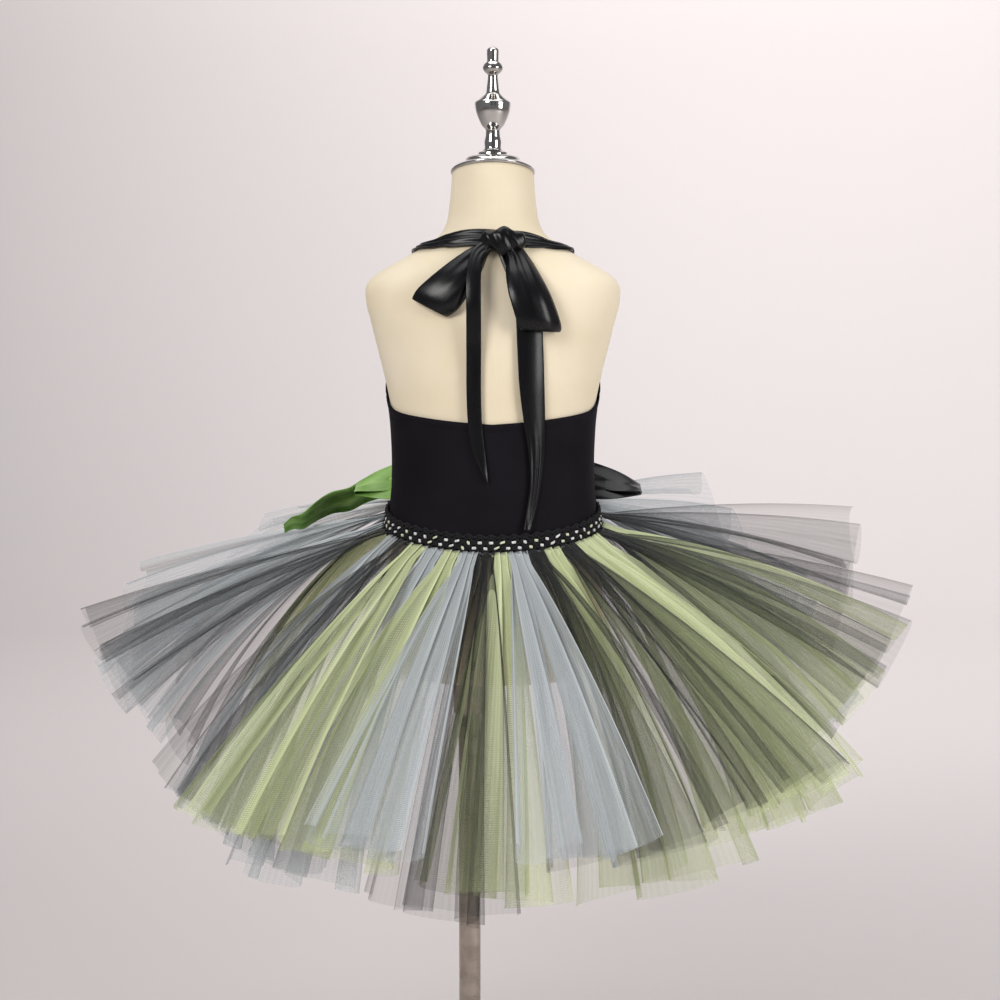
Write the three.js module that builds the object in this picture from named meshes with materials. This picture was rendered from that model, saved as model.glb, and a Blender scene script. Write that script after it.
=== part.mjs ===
// A child's halter tutu dress on the limbless dress form that it rests on.
// Millimetres, +Z up. The floor is z = 0, the form's upright axis is x = y = 0,
// the wearer faces +Y and the wearer's left side is -X. An azimuth turns from +X towards +Y.
import * as THREE from 'three';

// ---- Driving dimensions -------------------------------------------------------------------

// Sections of the torso form, from its underside up to the top of its neck.
// slope is the drop of the section's plane for each millimetre towards the front.
const TORSO = [
  { z: 525, halfWidth: 86, halfDepth: 68, centreY: 1, squareness: 2.2, slope: 0 },
  { z: 530, halfWidth: 100, halfDepth: 80, centreY: 1, squareness: 2.2, slope: 0 },
  { z: 545, halfWidth: 109, halfDepth: 87, centreY: 1, squareness: 2.2, slope: 0 },
  { z: 575, halfWidth: 111.5, halfDepth: 88, centreY: 1, squareness: 2.2, slope: 0 },
  { z: 610, halfWidth: 109.5, halfDepth: 85.5, centreY: 2, squareness: 2.2, slope: 0 },
  { z: 645, halfWidth: 106, halfDepth: 82, centreY: 3, squareness: 2.2, slope: 0 },
  { z: 680, halfWidth: 102.5, halfDepth: 79.5, centreY: 4, squareness: 2.2, slope: 0 },
  { z: 710, halfWidth: 99.4, halfDepth: 78.5, centreY: 4, squareness: 2.2, slope: 0 },
  { z: 740, halfWidth: 98.6, halfDepth: 78, centreY: 4, squareness: 2.2, slope: 0 },
  { z: 770, halfWidth: 99.6, halfDepth: 77.5, centreY: 3, squareness: 2.2, slope: 0 },
  { z: 800, halfWidth: 102.6, halfDepth: 77.5, centreY: 2, squareness: 2.2, slope: 0 },
  { z: 830, halfWidth: 108.8, halfDepth: 77, centreY: 1, squareness: 2.2, slope: 0 },
  { z: 855, halfWidth: 115, halfDepth: 75.5, centreY: 1, squareness: 2.2, slope: 0 },
  { z: 878, halfWidth: 120.5, halfDepth: 73, centreY: 0, squareness: 2.2, slope: 0 },
  { z: 896, halfWidth: 125, halfDepth: 69.5, centreY: 0, squareness: 2.2, slope: 0 },
  { z: 908, halfWidth: 126, halfDepth: 66, centreY: 0, squareness: 2.2, slope: 0 },
  { z: 917, halfWidth: 123, halfDepth: 62.5, centreY: 0, squareness: 2.2, slope: 0 },
  { z: 925, halfWidth: 114, halfDepth: 59, centreY: 0, squareness: 2.2, slope: 0 },
  { z: 937, halfWidth: 93, halfDepth: 54, centreY: 1, squareness: 2.15, slope: 0 },
  { z: 948, halfWidth: 74, halfDepth: 49.5, centreY: 2, squareness: 2.1, slope: 0 },
  { z: 958, halfWidth: 57.5, halfDepth: 46, centreY: 3, squareness: 2.05, slope: 0 },
  { z: 968, halfWidth: 48.5, halfDepth: 43.5, centreY: 5, squareness: 2, slope: 0 },
  { z: 980, halfWidth: 44.5, halfDepth: 42, centreY: 7, squareness: 2, slope: 0 },
  { z: 1000, halfWidth: 42, halfDepth: 41, centreY: 9, squareness: 2, slope: 0.12 },
  { z: 1022, halfWidth: 40.2, halfDepth: 40.2, centreY: 10, squareness: 2, slope: 0.25 },
];
const TORSO_COLUMNS = 36;

// The neck cap, a chrome dome from the slanting neck to a level seat for the finial.
const NECK_CAP = [
  { z: 1022.4, radius: 41, slope: 0.25 },
  { z: 1024.6, radius: 41.6, slope: 0.25 },
  { z: 1029.5, radius: 36, slope: 0.19 },
  { z: 1034.5, radius: 27.5, slope: 0.08 },
  { z: 1037.5, radius: 26.5, slope: 0.03 },
  { z: 1040.8, radius: 20, slope: 0 },
];
const CAP_CENTRE_Y = 10;
const CAP_COLUMNS = 18;

// The turned finial, from its foot to its tip.
const FINIAL = [
  { z: 1041.2, radius: 14.5 },
  { z: 1043.6, radius: 14 },
  { z: 1045, radius: 10.5 },
  { z: 1048, radius: 8 },
  { z: 1053, radius: 8.3 },
  { z: 1060, radius: 7 },
  { z: 1064.5, radius: 6.8 },
  { z: 1069, radius: 10.5 },
  { z: 1077, radius: 14.5 },
  { z: 1085, radius: 17 },
  { z: 1091.5, radius: 17.6 },
  { z: 1094, radius: 15 },
  { z: 1097, radius: 11 },
  { z: 1101.5, radius: 6.6 },
  { z: 1109, radius: 5.6 },
  { z: 1118, radius: 4.7 },
  { z: 1121, radius: 8.2 },
  { z: 1125, radius: 9.9 },
  { z: 1129, radius: 8.2 },
  { z: 1131.5, radius: 5.6 },
  { z: 1142, radius: 5.8 },
  { z: 1144.5, radius: 3.6 },
];
const FINIAL_TIP_Z = 1145.2;

// The stand under the torso. Its pole stands a little to the wearer's left of the torso's axis.
const POLE_X = -24;
const POLE_RADIUS = 11;
const POLE_BOTTOM_Z = 12.3;
const POLE_TOP_Z = 516.7;
const SEAT_GAP = 0.3;
const SOCKET = { radius: 16, bottomZ: 484, flangeRadius: 34, flangeThickness: 7 };
const BASE = { radius: 140, rimHeight: 6, shoulderHeight: 15, hubRadius: 19, hubHeight: 44 };
const ROUND_SEGMENTS = 16;

// Cloth: the bodice lies on the torso, the waistband on the bodice, the strips on the waistband.
const BODICE_LIFT = 1;
const BODICE_WALL = 1.5;
const BAND_LIFT = BODICE_LIFT + BODICE_WALL + 0.4;
const BAND_WALL = 2.2;
const STITCH_HEIGHT = 1.3;
const ROOT_LIFT = BAND_LIFT + BAND_WALL + STITCH_HEIGHT + 0.5;
const SEAM_GAP = 0.3;

// The waist runs level from side to side and rises towards the front.
const WAIST_Z = 683;
const WAIST_RISE = 18;
const BAND_HEIGHT = 20;
const BAND_STITCHES = 36;
const BAND_STITCH_ROWS = 3;

// The bodice's top edge. Azimuth 0 is a side seam, 90 the front and -90 the back;
// both sides are alike. The top corner is where the halter ribbon leaves.
const CORNER_AZIMUTH = 40;
const BODICE_TOP = [
  { azimuth: -90, z: 782 },
  { azimuth: -65, z: 784.5 },
  { azimuth: -42, z: 788 },
  { azimuth: -19, z: 793 },
  { azimuth: 0, z: 808 },
  { azimuth: 10, z: 821 },
  { azimuth: 20, z: 842 },
  { azimuth: 30, z: 870 },
  { azimuth: CORNER_AZIMUTH, z: 896 },
  { azimuth: 50, z: 892 },
  { azimuth: 70, z: 886.5 },
  { azimuth: 90, z: 885 },
];
const BODICE_FRONT_ROWS = 10;
const BODICE_BACK_ROWS = 5;

// Satin ribbon.
const SATIN_WALL = 1.2;

// The halter strap of the wearer's right side, from the bodice's corner over the shoulder
// to the nape. The left one mirrors it but for its nape end, because the knot sits off centre.
const STRAP = [
  { x: 69, y: 59, z: 896.6, half: 9 },
  { x: 69, y: 55, z: 912, half: 7 },
  { x: 71, y: 38, z: 932, half: 6 },
  { x: 74, y: 14, z: 947, half: 5.5 },
  { x: 71, y: -6, z: 949, half: 5.5 },
  { x: 60, y: -24, z: 954, half: 6 },
  { x: 48, y: -33, z: 959, half: 7 },
  { x: 37, y: -39, z: 961, half: 7.5 },
];
const STRAP_END = { z: 961, half: 7.5, rightX: 14, leftX: 8 };
const STRAP_LIFT = 1.1;
const STRAP_STEPS = 14;

// The nape bow lies on the back: x and z place its rows, and lift is their level distance off it.
// angle is the ribbon's width direction, in degrees from +X towards -Z.
const KNOT = { x: 12, z: 957, lift: 12.5, halfWidth: 19, halfHeight: 16.5, halfDepth: 8.5, folds: 3 };
const LEFT_LOOP = [
  { x: -6.8, z: 950.5, lift: 6, half: 6, angle: 65 },
  { x: -21, z: 934, lift: 12, half: 12, angle: 44 },
  { x: -41, z: 913, lift: 14, half: 18, angle: 32 },
  { x: -57, z: 897, lift: 11.5, half: 21, angle: 27 },
  { x: -60, z: 894, lift: 8, half: 21.5, angle: 27 },
  { x: -56, z: 898, lift: 4.8, half: 21, angle: 27 },
  { x: -39, z: 915, lift: 4, half: 16, angle: 32 },
  { x: -20, z: 935, lift: 4, half: 10, angle: 44 },
  { x: -6.8, z: 950, lift: 3, half: 5.5, angle: 65 },
];
const RIGHT_LOOP = [
  { x: 22.6, z: 942.6, lift: 10.5, half: 9, angle: -12 },
  { x: 29, z: 924, lift: 18, half: 14, angle: 0 },
  { x: 38, z: 900, lift: 20, half: 18, angle: 4 },
  { x: 45, z: 879, lift: 17, half: 19.5, angle: 6 },
  { x: 46, z: 874, lift: 13, half: 19.5, angle: 6 },
  { x: 44, z: 880, lift: 9.2, half: 19, angle: 6 },
  { x: 37, z: 901, lift: 8.6, half: 17, angle: 4 },
  { x: 28, z: 925, lift: 8.6, half: 12, angle: 0 },
  { x: 22.6, z: 942.4, lift: 6.5, half: 8, angle: -12 },
];
const LEFT_TAIL = [
  { x: -5.2, z: 952.6, lift: 13, half: 6, angle: 62 },
  { x: -15, z: 943, lift: 19, half: 6.6, angle: 30 },
  { x: -18, z: 925, lift: 21, half: 6.8, angle: 5 },
  { x: -18, z: 900, lift: 19, half: 6.8, angle: 0 },
  { x: -18, z: 875, lift: 12, half: 6.8, angle: 0 },
  { x: -18, z: 845, lift: 7, half: 6.8, angle: 0 },
  { x: -18, z: 810, lift: 6, half: 6.7, angle: 0 },
  { x: -16.5, z: 778, lift: 6, half: 6.6, angle: 6 },
  { x: -12, z: 750, lift: 6, half: 6, angle: 22 },
  { x: -5, z: 727, lift: 6, half: 2.6, angle: 40 },
];
const RIGHT_TAIL = [
  { x: 13, z: 940.2, lift: 2.6, half: 9, angle: 0 },
  { x: 27, z: 918, lift: 3.6, half: 11.5, angle: 0 },
  { x: 34, z: 888, lift: 3.8, half: 12.4, angle: 0 },
  { x: 36, z: 855, lift: 4.6, half: 12.4, angle: 0 },
  { x: 37, z: 820, lift: 5.6, half: 12, angle: 0 },
  { x: 39, z: 785, lift: 6, half: 10.5, angle: 4 },
  { x: 41, z: 755, lift: 6, half: 8, angle: 8 },
  { x: 41, z: 725, lift: 6, half: 6, angle: 8 },
  { x: 37.5, z: 700, lift: 6.5, half: 5, angle: 8 },
  { x: 33.5, z: 680, lift: 8.5, half: 4, angle: 8 },
];
const LOOP_STEPS = 16;
const TAIL_STEPS = 16;
const RIBBON_COLUMNS = 4;
const LOOP_CUP = 2.5;
const TAIL_CUP = 1.6;

// The front bow stands free above the skirt: x, y and z are the middle of a row, and
// acrossY and acrossZ its half width. The black loop is to the wearer's right.
const FRONT_KNOT = { y: 96.5, z: 716, halfWidth: 12, halfHeight: 15, halfDepth: 9, folds: 3 };
const FRONT_LOOP = [
  { x: 12.8, y: 98, z: 719, acrossY: 1, acrossZ: 8 },
  { x: 45, y: 108, z: 722, acrossY: 4, acrossZ: 19 },
  { x: 90, y: 110, z: 715, acrossY: 8, acrossZ: 16 },
  { x: 128, y: 105, z: 708, acrossY: 12, acrossZ: 10 },
  { x: 152, y: 98, z: 702, acrossY: 14, acrossZ: 3 },
  { x: 154, y: 97, z: 699.5, acrossY: 14, acrossZ: 3 },
  { x: 150, y: 97, z: 697.5, acrossY: 13.5, acrossZ: 3 },
  { x: 120, y: 98, z: 700, acrossY: 10, acrossZ: 10 },
  { x: 82, y: 99, z: 707, acrossY: 5, acrossZ: 16 },
  { x: 44, y: 98, z: 713, acrossY: 2, acrossZ: 15 },
  { x: 12.8, y: 94.5, z: 713, acrossY: 0, acrossZ: 8 },
];
const GREEN_LOOP_SCALE = 0.93;
const FRONT_TAIL = [
  { x: -10, y: 107, z: 706, acrossY: 3, acrossZ: -8 },
  { x: -35, y: 118, z: 697, acrossY: 10, acrossZ: -8 },
  { x: -75, y: 123, z: 694, acrossY: 12, acrossZ: -6 },
  { x: -120, y: 127, z: 692, acrossY: 12, acrossZ: -7 },
  { x: -160, y: 114, z: 692, acrossY: 9, acrossZ: -9 },
  { x: -182, y: 80, z: 693, acrossY: 7, acrossZ: -10 },
  { x: -195, y: 60, z: 687, acrossY: 7, acrossZ: -9 },
  { x: -214, y: 44, z: 681, acrossY: 7, acrossZ: -7 },
];

// The skirt: folded tulle strips round the waist, one each STRIP_PITCH degrees. Both halves of
// the skirt, to the left and right of the back's middle, are alike. Three tiers alternate. Each
// bends down by a total angle along its length. Its half width at the hem, its mean droop below
// level, its length and the twist that sets its width on edge depend on the turn from the back:
// 0 at the back, 90 at a side, 180 at the front, with a value each TURN_STEP degrees.
// Angles are in degrees.
const STRIP_COUNT = 36;
const STRIP_PITCH = 360 / STRIP_COUNT;
const STRIP_TIERS = [
  {
    name: 'under', bend: 30, hemHalf: [71, 71, 71, 71, 71],
    droop: [62, 56, 46, 44, 55], length: [342, 344, 326, 322, 328],
  },
  {
    name: 'top', bend: 12, hemHalf: [56, 62, 76, 82, 82],
    droop: [42, 35, 17, 14, 27], length: [344, 334, 302, 302, 318],
  },
  {
    name: 'middle', bend: 22, hemHalf: [74, 74, 74, 74, 74],
    droop: [51, 45, 31, 28, 42], length: [342, 334, 308, 310, 322],
  },
];
const STRIP_TWIST = [0, 14, 52, 40, 0];
const TURN_STEP = 45;
const MIDDLE_NUDGE = 4;
// G is lime, W is white and K is black tulle, from the middle of the back towards +X.
const STRIP_COLOURS = 'GWKGKGGKGWKWKWKGWKGWKGWGKWKWKWKGWGWK';
const STRIP_WALL = 1.4;
const STRIP_ROOT_HALF = 6.8;
const STRIP_ROOT_LENGTH = 22;
const STRIP_WAVES = 2;
const WAVE_HEIGHT = 7;
const STRIP_COLUMNS = 8;
const STRIP_STATIONS = [0, 0.06, 0.2, 0.42, 0.7, 1];
const ROOT_BELOW_WAIST = 6;

// ---- Finishes -----------------------------------------------------------------------------

const MATERIALS = {
  cream: new THREE.MeshStandardMaterial({ color: 0xecdec4, roughness: 0.8, metalness: 0 }),
  chrome: new THREE.MeshStandardMaterial({ color: 0xc9c6c0, roughness: 0.15, metalness: 1 }),
  steel: new THREE.MeshStandardMaterial({ color: 0x8d8378, roughness: 0.35, metalness: 1 }),
  stretch: new THREE.MeshStandardMaterial({ color: 0x1e1a20, roughness: 0.75, metalness: 0 }),
  crochet: new THREE.MeshStandardMaterial({ color: 0x121014, roughness: 0.9, metalness: 0 }),
  blackSatin: new THREE.MeshStandardMaterial({ color: 0x101014, roughness: 0.35, metalness: 0 }),
  greenSatin: new THREE.MeshStandardMaterial({ color: 0x6fbf3e, roughness: 0.35, metalness: 0 }),
};
const TULLE = {
  G: new THREE.MeshStandardMaterial({ color: 0xbfd08a, roughness: 0.85, metalness: 0 }),
  W: new THREE.MeshStandardMaterial({ color: 0xc4cad6, roughness: 0.85, metalness: 0 }),
  K: new THREE.MeshStandardMaterial({ color: 0x2c2e33, roughness: 0.85, metalness: 0 }),
};

const model = new THREE.Group();

function addPart(name, geometry, material) {
  const mesh = new THREE.Mesh(geometry, material);
  mesh.name = name;
  model.add(mesh);
}

// ---- Curves through short tables ----------------------------------------------------------

// A smooth value of one column at a place along another. Its slope at a row is the mean of
// the slopes beside it, or level where they differ in sign, so that it never overshoots.
function smoothColumn(rows, along, column, place) {
  const last = rows.length - 1;
  const clamped = THREE.MathUtils.clamp(place, rows[0][along], rows[last][along]);
  let i = 0;
  while (i < last - 1 && clamped > rows[i + 1][along]) i += 1;
  const slopeAfter = (k) => {
    return (rows[k + 1][column] - rows[k][column]) / (rows[k + 1][along] - rows[k][along]);
  };
  const slopeAt = (k) => {
    if (k === 0) return slopeAfter(0);
    if (k === last) return slopeAfter(last - 1);
    const before = slopeAfter(k - 1);
    const after = slopeAfter(k);
    return before * after <= 0 ? 0 : (2 * before * after) / (before + after);
  };
  const span = rows[i + 1][along] - rows[i][along];
  const t = (clamped - rows[i][along]) / span;
  const t2 = t * t;
  const t3 = t2 * t;
  return (2 * t3 - 3 * t2 + 1) * rows[i][column]
    + (t3 - 2 * t2 + t) * span * slopeAt(i)
    + (3 * t2 - 2 * t3) * rows[i + 1][column]
    + (t3 - t2) * span * slopeAt(i + 1);
}

// Rows at even steps of a table, each column on a centripetal curve through the rows.
function resample(rows, steps) {
  const columns = Object.keys(rows[0]);
  const curveOf = (column) => {
    return new THREE.SplineCurve(rows.map((row, i) => new THREE.Vector2(i, row[column])));
  };
  const curves = columns.map(curveOf);
  return Array.from({ length: steps + 1 }, (_, i) => {
    const entries = columns.map((column, c) => [column, curves[c].getPoint(i / steps).y]);
    return Object.fromEntries(entries);
  });
}

// ---- Closed walls and lofts ---------------------------------------------------------------

function closedGeometry(points, faces) {
  const geometry = new THREE.BufferGeometry();
  geometry.setAttribute('position', new THREE.Float32BufferAttribute(points.flatMap((p) => p.toArray()), 3));
  let volume = 0;
  for (const [a, b, c] of faces) {
    volume += points[a].dot(new THREE.Vector3().crossVectors(points[b], points[c]));
  }
  const outward = volume > 0 ? faces : faces.map(([a, b, c]) => [a, c, b]);
  geometry.setIndex(outward.flat());
  return geometry;
}

// A wall between two grids of points with as many columns. A ring's columns close on
// themselves, and its plain inner grid may have fewer rows than its outer one.
function wall(outer, inner, isRing) {
  const rows = outer.length;
  const columns = outer[0].length;
  const points = [...outer.flat(), ...inner.flat()];
  const innerStart = rows * columns;
  const faces = [];
  const quad = (a, b, c, d) => {
    const first = points[a].distanceTo(points[c]);
    const second = points[b].distanceTo(points[d]);
    if (first <= second + 0.01) faces.push([a, b, c], [a, c, d]);
    else faces.push([b, c, d], [b, d, a]);
  };
  const spans = isRing ? columns : columns - 1;
  const top = (rows - 1) * columns;
  const innerTop = points.length - columns;
  for (let j = 0; j < spans; j += 1) {
    const next = (j + 1) % columns;
    for (let i = 0; i < rows - 1; i += 1) {
      const a = i * columns;
      const b = a + columns;
      quad(a + j, a + next, b + next, b + j);
    }
    for (let i = 0; i < inner.length - 1; i += 1) {
      const a = innerStart + i * columns;
      const b = a + columns;
      quad(a + j, b + j, b + next, a + next);
    }
    quad(next, j, innerStart + j, innerStart + next);
    quad(top + j, top + next, innerTop + next, innerTop + j);
  }
  if (!isRing) {
    for (let i = 0; i < rows - 1; i += 1) {
      const left = i * columns;
      const right = left + columns - 1;
      quad(left, left + columns, innerStart + left + columns, innerStart + left);
      quad(right + columns, right, innerStart + right, innerStart + right + columns);
    }
  }
  return closedGeometry(points, faces);
}

// A wall with even thickness on both sides of a grid.
function sheetWall(grid, thickness) {
  const rows = grid.length;
  const columns = grid[0].length;
  const offset = (side) => grid.map((row, i) => row.map((point, j) => {
    const along = grid[Math.min(i + 1, rows - 1)][j].clone().sub(grid[Math.max(i - 1, 0)][j]);
    const across = row[Math.min(j + 1, columns - 1)].clone().sub(row[Math.max(j - 1, 0)]);
    const normal = across.cross(along).normalize();
    return point.clone().addScaledVector(normal, side * thickness / 2);
  }));
  return wall(offset(1), offset(-1), false);
}

// A solid through rings of points, closed at both ends by a point.
function loft(rings, lowPoint, highPoint) {
  const columns = rings[0].length;
  const points = [...rings.flat(), lowPoint, highPoint];
  const low = points.length - 2;
  const high = points.length - 1;
  const faces = [];
  for (let j = 0; j < columns; j += 1) {
    const next = (j + 1) % columns;
    for (let i = 0; i < rings.length - 1; i += 1) {
      const a = i * columns;
      const b = a + columns;
      faces.push([a + j, a + next, b + next], [a + j, b + next, b + j]);
    }
    const top = (rings.length - 1) * columns;
    faces.push([low, next, j], [high, top + j, top + next]);
  }
  return closedGeometry(points, faces);
}

function ringAngles(count) {
  return Array.from({ length: count }, (_, j) => (2 * Math.PI * j) / count);
}

// ---- The torso form -----------------------------------------------------------------------

function torsoAt(z) {
  const columns = ['halfWidth', 'halfDepth', 'centreY', 'squareness', 'slope'];
  return Object.fromEntries(columns.map((column) => [column, smoothColumn(TORSO, 'z', column, z)]));
}

// Distance of the torso's skin from its centre line, at an azimuth in radians.
function torsoRadius(section, azimuth) {
  const n = section.squareness;
  const x = Math.abs(Math.cos(azimuth)) / section.halfWidth;
  const y = Math.abs(Math.sin(azimuth)) / section.halfDepth;
  return (x ** n + y ** n) ** (-1 / n);
}

function torsoPoint(azimuth, z) {
  const section = torsoAt(z);
  const radius = torsoRadius(section, azimuth);
  const forward = radius * Math.sin(azimuth);
  return new THREE.Vector3(radius * Math.cos(azimuth), section.centreY + forward, z - section.slope * forward);
}

// A point on the torso's skin, moved out along the skin's normal.
function offTorso(azimuth, z, lift) {
  const step = 0.01;
  const along = torsoPoint(azimuth + step, z).sub(torsoPoint(azimuth - step, z));
  const up = torsoPoint(azimuth, z + 1).sub(torsoPoint(azimuth, z - 1));
  return torsoPoint(azimuth, z).addScaledVector(along.cross(up).normalize(), lift);
}

// How far a point lies outside the torso's skin, first as a ratio and then as a distance.
function skinRatio(point) {
  const section = torsoAt(point.z);
  const forward = point.y - section.centreY;
  return Math.hypot(point.x, forward) / torsoRadius(section, Math.atan2(forward, point.x)) - 1;
}

function skinGradient(point) {
  const step = 0.5;
  const slope = (axis) => {
    const ahead = point.clone();
    const behind = point.clone();
    ahead[axis] += step;
    behind[axis] -= step;
    return (skinRatio(ahead) - skinRatio(behind)) / (2 * step);
  };
  return new THREE.Vector3(slope('x'), slope('y'), slope('z'));
}

// Moves a point to a given height off the torso's skin.
function settle(point, lift) {
  const settled = point.clone();
  for (let round = 0; round < 8; round += 1) {
    const gradient = skinGradient(settled);
    const steepness = gradient.length();
    const distance = skinRatio(settled) / steepness;
    settled.addScaledVector(gradient, (lift - distance) / steepness);
  }
  return settled;
}

function buildForm() {
  const angles = ringAngles(TORSO_COLUMNS);
  const rings = TORSO.map((row) => angles.map((angle) => torsoPoint(angle, row.z)));
  const bottom = TORSO[0];
  const top = TORSO[TORSO.length - 1];
  const low = new THREE.Vector3(0, bottom.centreY, bottom.z);
  const high = new THREE.Vector3(0, top.centreY, top.z);
  addPart('form_torso', loft(rings, low, high), MATERIALS.cream);
}

function buildNeckCap() {
  const ring = (row) => ringAngles(CAP_COLUMNS).map((angle) => {
    const forward = row.radius * Math.sin(angle);
    return new THREE.Vector3(row.radius * Math.cos(angle), CAP_CENTRE_Y + forward, row.z - row.slope * forward);
  });
  const low = new THREE.Vector3(0, CAP_CENTRE_Y, NECK_CAP[0].z);
  const high = new THREE.Vector3(0, CAP_CENTRE_Y, NECK_CAP[NECK_CAP.length - 1].z);
  addPart('neck_cap', loft(NECK_CAP.map(ring), low, high), MATERIALS.chrome);
}

// A turned piece from pairs of radius and height, standing up at x and y.
function turned(profile, x, y, segments) {
  const geometry = new THREE.LatheGeometry(profile.map(([r, z]) => new THREE.Vector2(r, z)), segments);
  geometry.rotateX(Math.PI / 2);
  geometry.translate(x, y, 0);
  return geometry;
}

function buildFinial() {
  const rows = FINIAL.map((row) => [row.radius, row.z]);
  const profile = [[0, FINIAL[0].z], ...rows, [0, FINIAL_TIP_Z]];
  addPart('finial', turned(profile, 0, CAP_CENTRE_Y, ROUND_SEGMENTS), MATERIALS.chrome);
}

function buildStand() {
  const bore = POLE_RADIUS + SEAT_GAP;
  const top = TORSO[0].z - SEAT_GAP;
  const boreTop = POLE_TOP_Z + SEAT_GAP;
  const flangeBottom = top - SOCKET.flangeThickness;
  const socket = [
    [0, boreTop], [bore, boreTop], [bore, SOCKET.bottomZ], [SOCKET.radius, SOCKET.bottomZ],
    [SOCKET.radius, flangeBottom], [SOCKET.flangeRadius, flangeBottom + 2], [SOCKET.flangeRadius, top], [0, top],
  ];
  addPart('form_socket', turned(socket, POLE_X, 0, ROUND_SEGMENTS), MATERIALS.steel);

  const pole = [[0, POLE_BOTTOM_Z], [POLE_RADIUS, POLE_BOTTOM_Z], [POLE_RADIUS, POLE_TOP_Z], [0, POLE_TOP_Z]];
  addPart('form_pole', turned(pole, POLE_X, 0, ROUND_SEGMENTS), MATERIALS.steel);

  const boreBottom = POLE_BOTTOM_Z - SEAT_GAP;
  const base = [
    [0, 0], [BASE.radius, 0], [BASE.radius, BASE.rimHeight], [BASE.radius * 0.75, BASE.shoulderHeight * 0.8],
    [BASE.radius * 0.35, BASE.shoulderHeight], [BASE.hubRadius, BASE.shoulderHeight + 3],
    [BASE.hubRadius, BASE.hubHeight - 2], [BASE.hubRadius - 2, BASE.hubHeight], [bore, BASE.hubHeight],
    [bore, boreBottom], [0, boreBottom],
  ];
  addPart('form_base', turned(base, POLE_X, 0, ROUND_SEGMENTS + 12), MATERIALS.steel);
}

// ---- Bodice and waistband -----------------------------------------------------------------

function waistZ(azimuth) {
  return WAIST_Z + WAIST_RISE * Math.sin(azimuth);
}

function bodiceTopZ(azimuth) {
  const side = Math.asin(Math.sin(azimuth));
  return smoothColumn(BODICE_TOP, 'azimuth', 'z', THREE.MathUtils.radToDeg(side));
}

// A bodice panel from one side seam to the other; its lower edge is under the waistband.
function bodicePanel(startAngle, rows) {
  const columns = TORSO_COLUMNS / 2;
  const seam = SEAM_GAP / 2 / TORSO[7].halfWidth;
  const grid = (lift) => Array.from({ length: rows + 1 }, (_, i) => {
    return Array.from({ length: columns + 1 }, (__, j) => {
      const inset = (j === 0 ? seam : 0) - (j === columns ? seam : 0);
      const azimuth = startAngle + (Math.PI * j) / columns + inset;
      const low = waistZ(azimuth) - BAND_HEIGHT / 2 + 1;
      return offTorso(azimuth, THREE.MathUtils.lerp(low, bodiceTopZ(azimuth), i / rows), lift);
    });
  });
  return wall(grid(BODICE_LIFT + BODICE_WALL), grid(BODICE_LIFT), false);
}

// The crocheted band: a ring whose outer points rise in rows of round stitches, with each
// second row set half a stitch along.
function waistband() {
  const rows = 2 * BAND_STITCH_ROWS;
  const angles = ringAngles(2 * BAND_STITCHES);
  const grid = (rowCount, liftAt) => Array.from({ length: rowCount + 1 }, (_, i) => {
    return angles.map((azimuth, j) => {
      const z = waistZ(azimuth) + BAND_HEIGHT * (i / rowCount - 0.5);
      return offTorso(azimuth, z, liftAt(i, j));
    });
  });
  const isStitch = (i, j) => i % 2 === 1 && (j + (i - 1) / 2) % 2 === 0;
  const outer = grid(rows, (i, j) => BAND_LIFT + BAND_WALL + (isStitch(i, j) ? STITCH_HEIGHT : 0));
  return wall(outer, grid(1, () => BAND_LIFT), true);
}

// ---- Ribbons ------------------------------------------------------------------------------

function ribbonPlaces() {
  return Array.from({ length: RIBBON_COLUMNS + 1 }, (_, j) => (2 * j) / RIBBON_COLUMNS - 1);
}

// A halter strap on the torso's skin. side is 1 for the wearer's right and -1 for the left.
function halterStrap(side) {
  const napeX = side > 0 ? STRAP_END.rightX : -STRAP_END.leftX + 2 * KNOT.x - STRAP_END.rightX;
  const shoulder = STRAP.map((row) => ({ ...row, x: side * row.x }));
  const rows = resample([...shoulder, { x: napeX, y: -46, z: STRAP_END.z, half: STRAP_END.half }], STRAP_STEPS);
  const middles = rows.map((row) => settle(new THREE.Vector3(row.x, row.y, row.z), STRAP_LIFT));
  const grid = (lift) => middles.map((middle, i) => {
    const ahead = middles[Math.min(i + 1, middles.length - 1)];
    const along = ahead.clone().sub(middles[Math.max(i - 1, 0)]);
    const across = along.cross(skinGradient(middle)).normalize();
    return ribbonPlaces().map((place) => {
      return settle(middle.clone().addScaledVector(across, place * rows[i].half), lift);
    });
  });
  return wall(grid(STRAP_LIFT + SATIN_WALL), grid(STRAP_LIFT), false);
}

// A point behind the back at x and z, a level distance off the skin.
function offBack(x, z, lift) {
  const section = torsoAt(z);
  const n = section.squareness;
  const depth = section.halfDepth * (1 - (Math.abs(x) / section.halfWidth) ** n) ** (1 / n);
  return new THREE.Vector3(x, section.centreY - depth - lift, z);
}

// A ribbon of the nape bow. cup is how far its middle stands up over its edges.
function backRibbon(table, steps, cup) {
  const grid = resample(table, steps).map((row) => ribbonPlaces().map((place) => {
    const angle = THREE.MathUtils.degToRad(row.angle);
    const x = row.x + place * row.half * Math.cos(angle);
    const z = row.z - place * row.half * Math.sin(angle);
    return offBack(x, z, row.lift + cup * (1 - place * place));
  }));
  return sheetWall(grid, SATIN_WALL);
}

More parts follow.
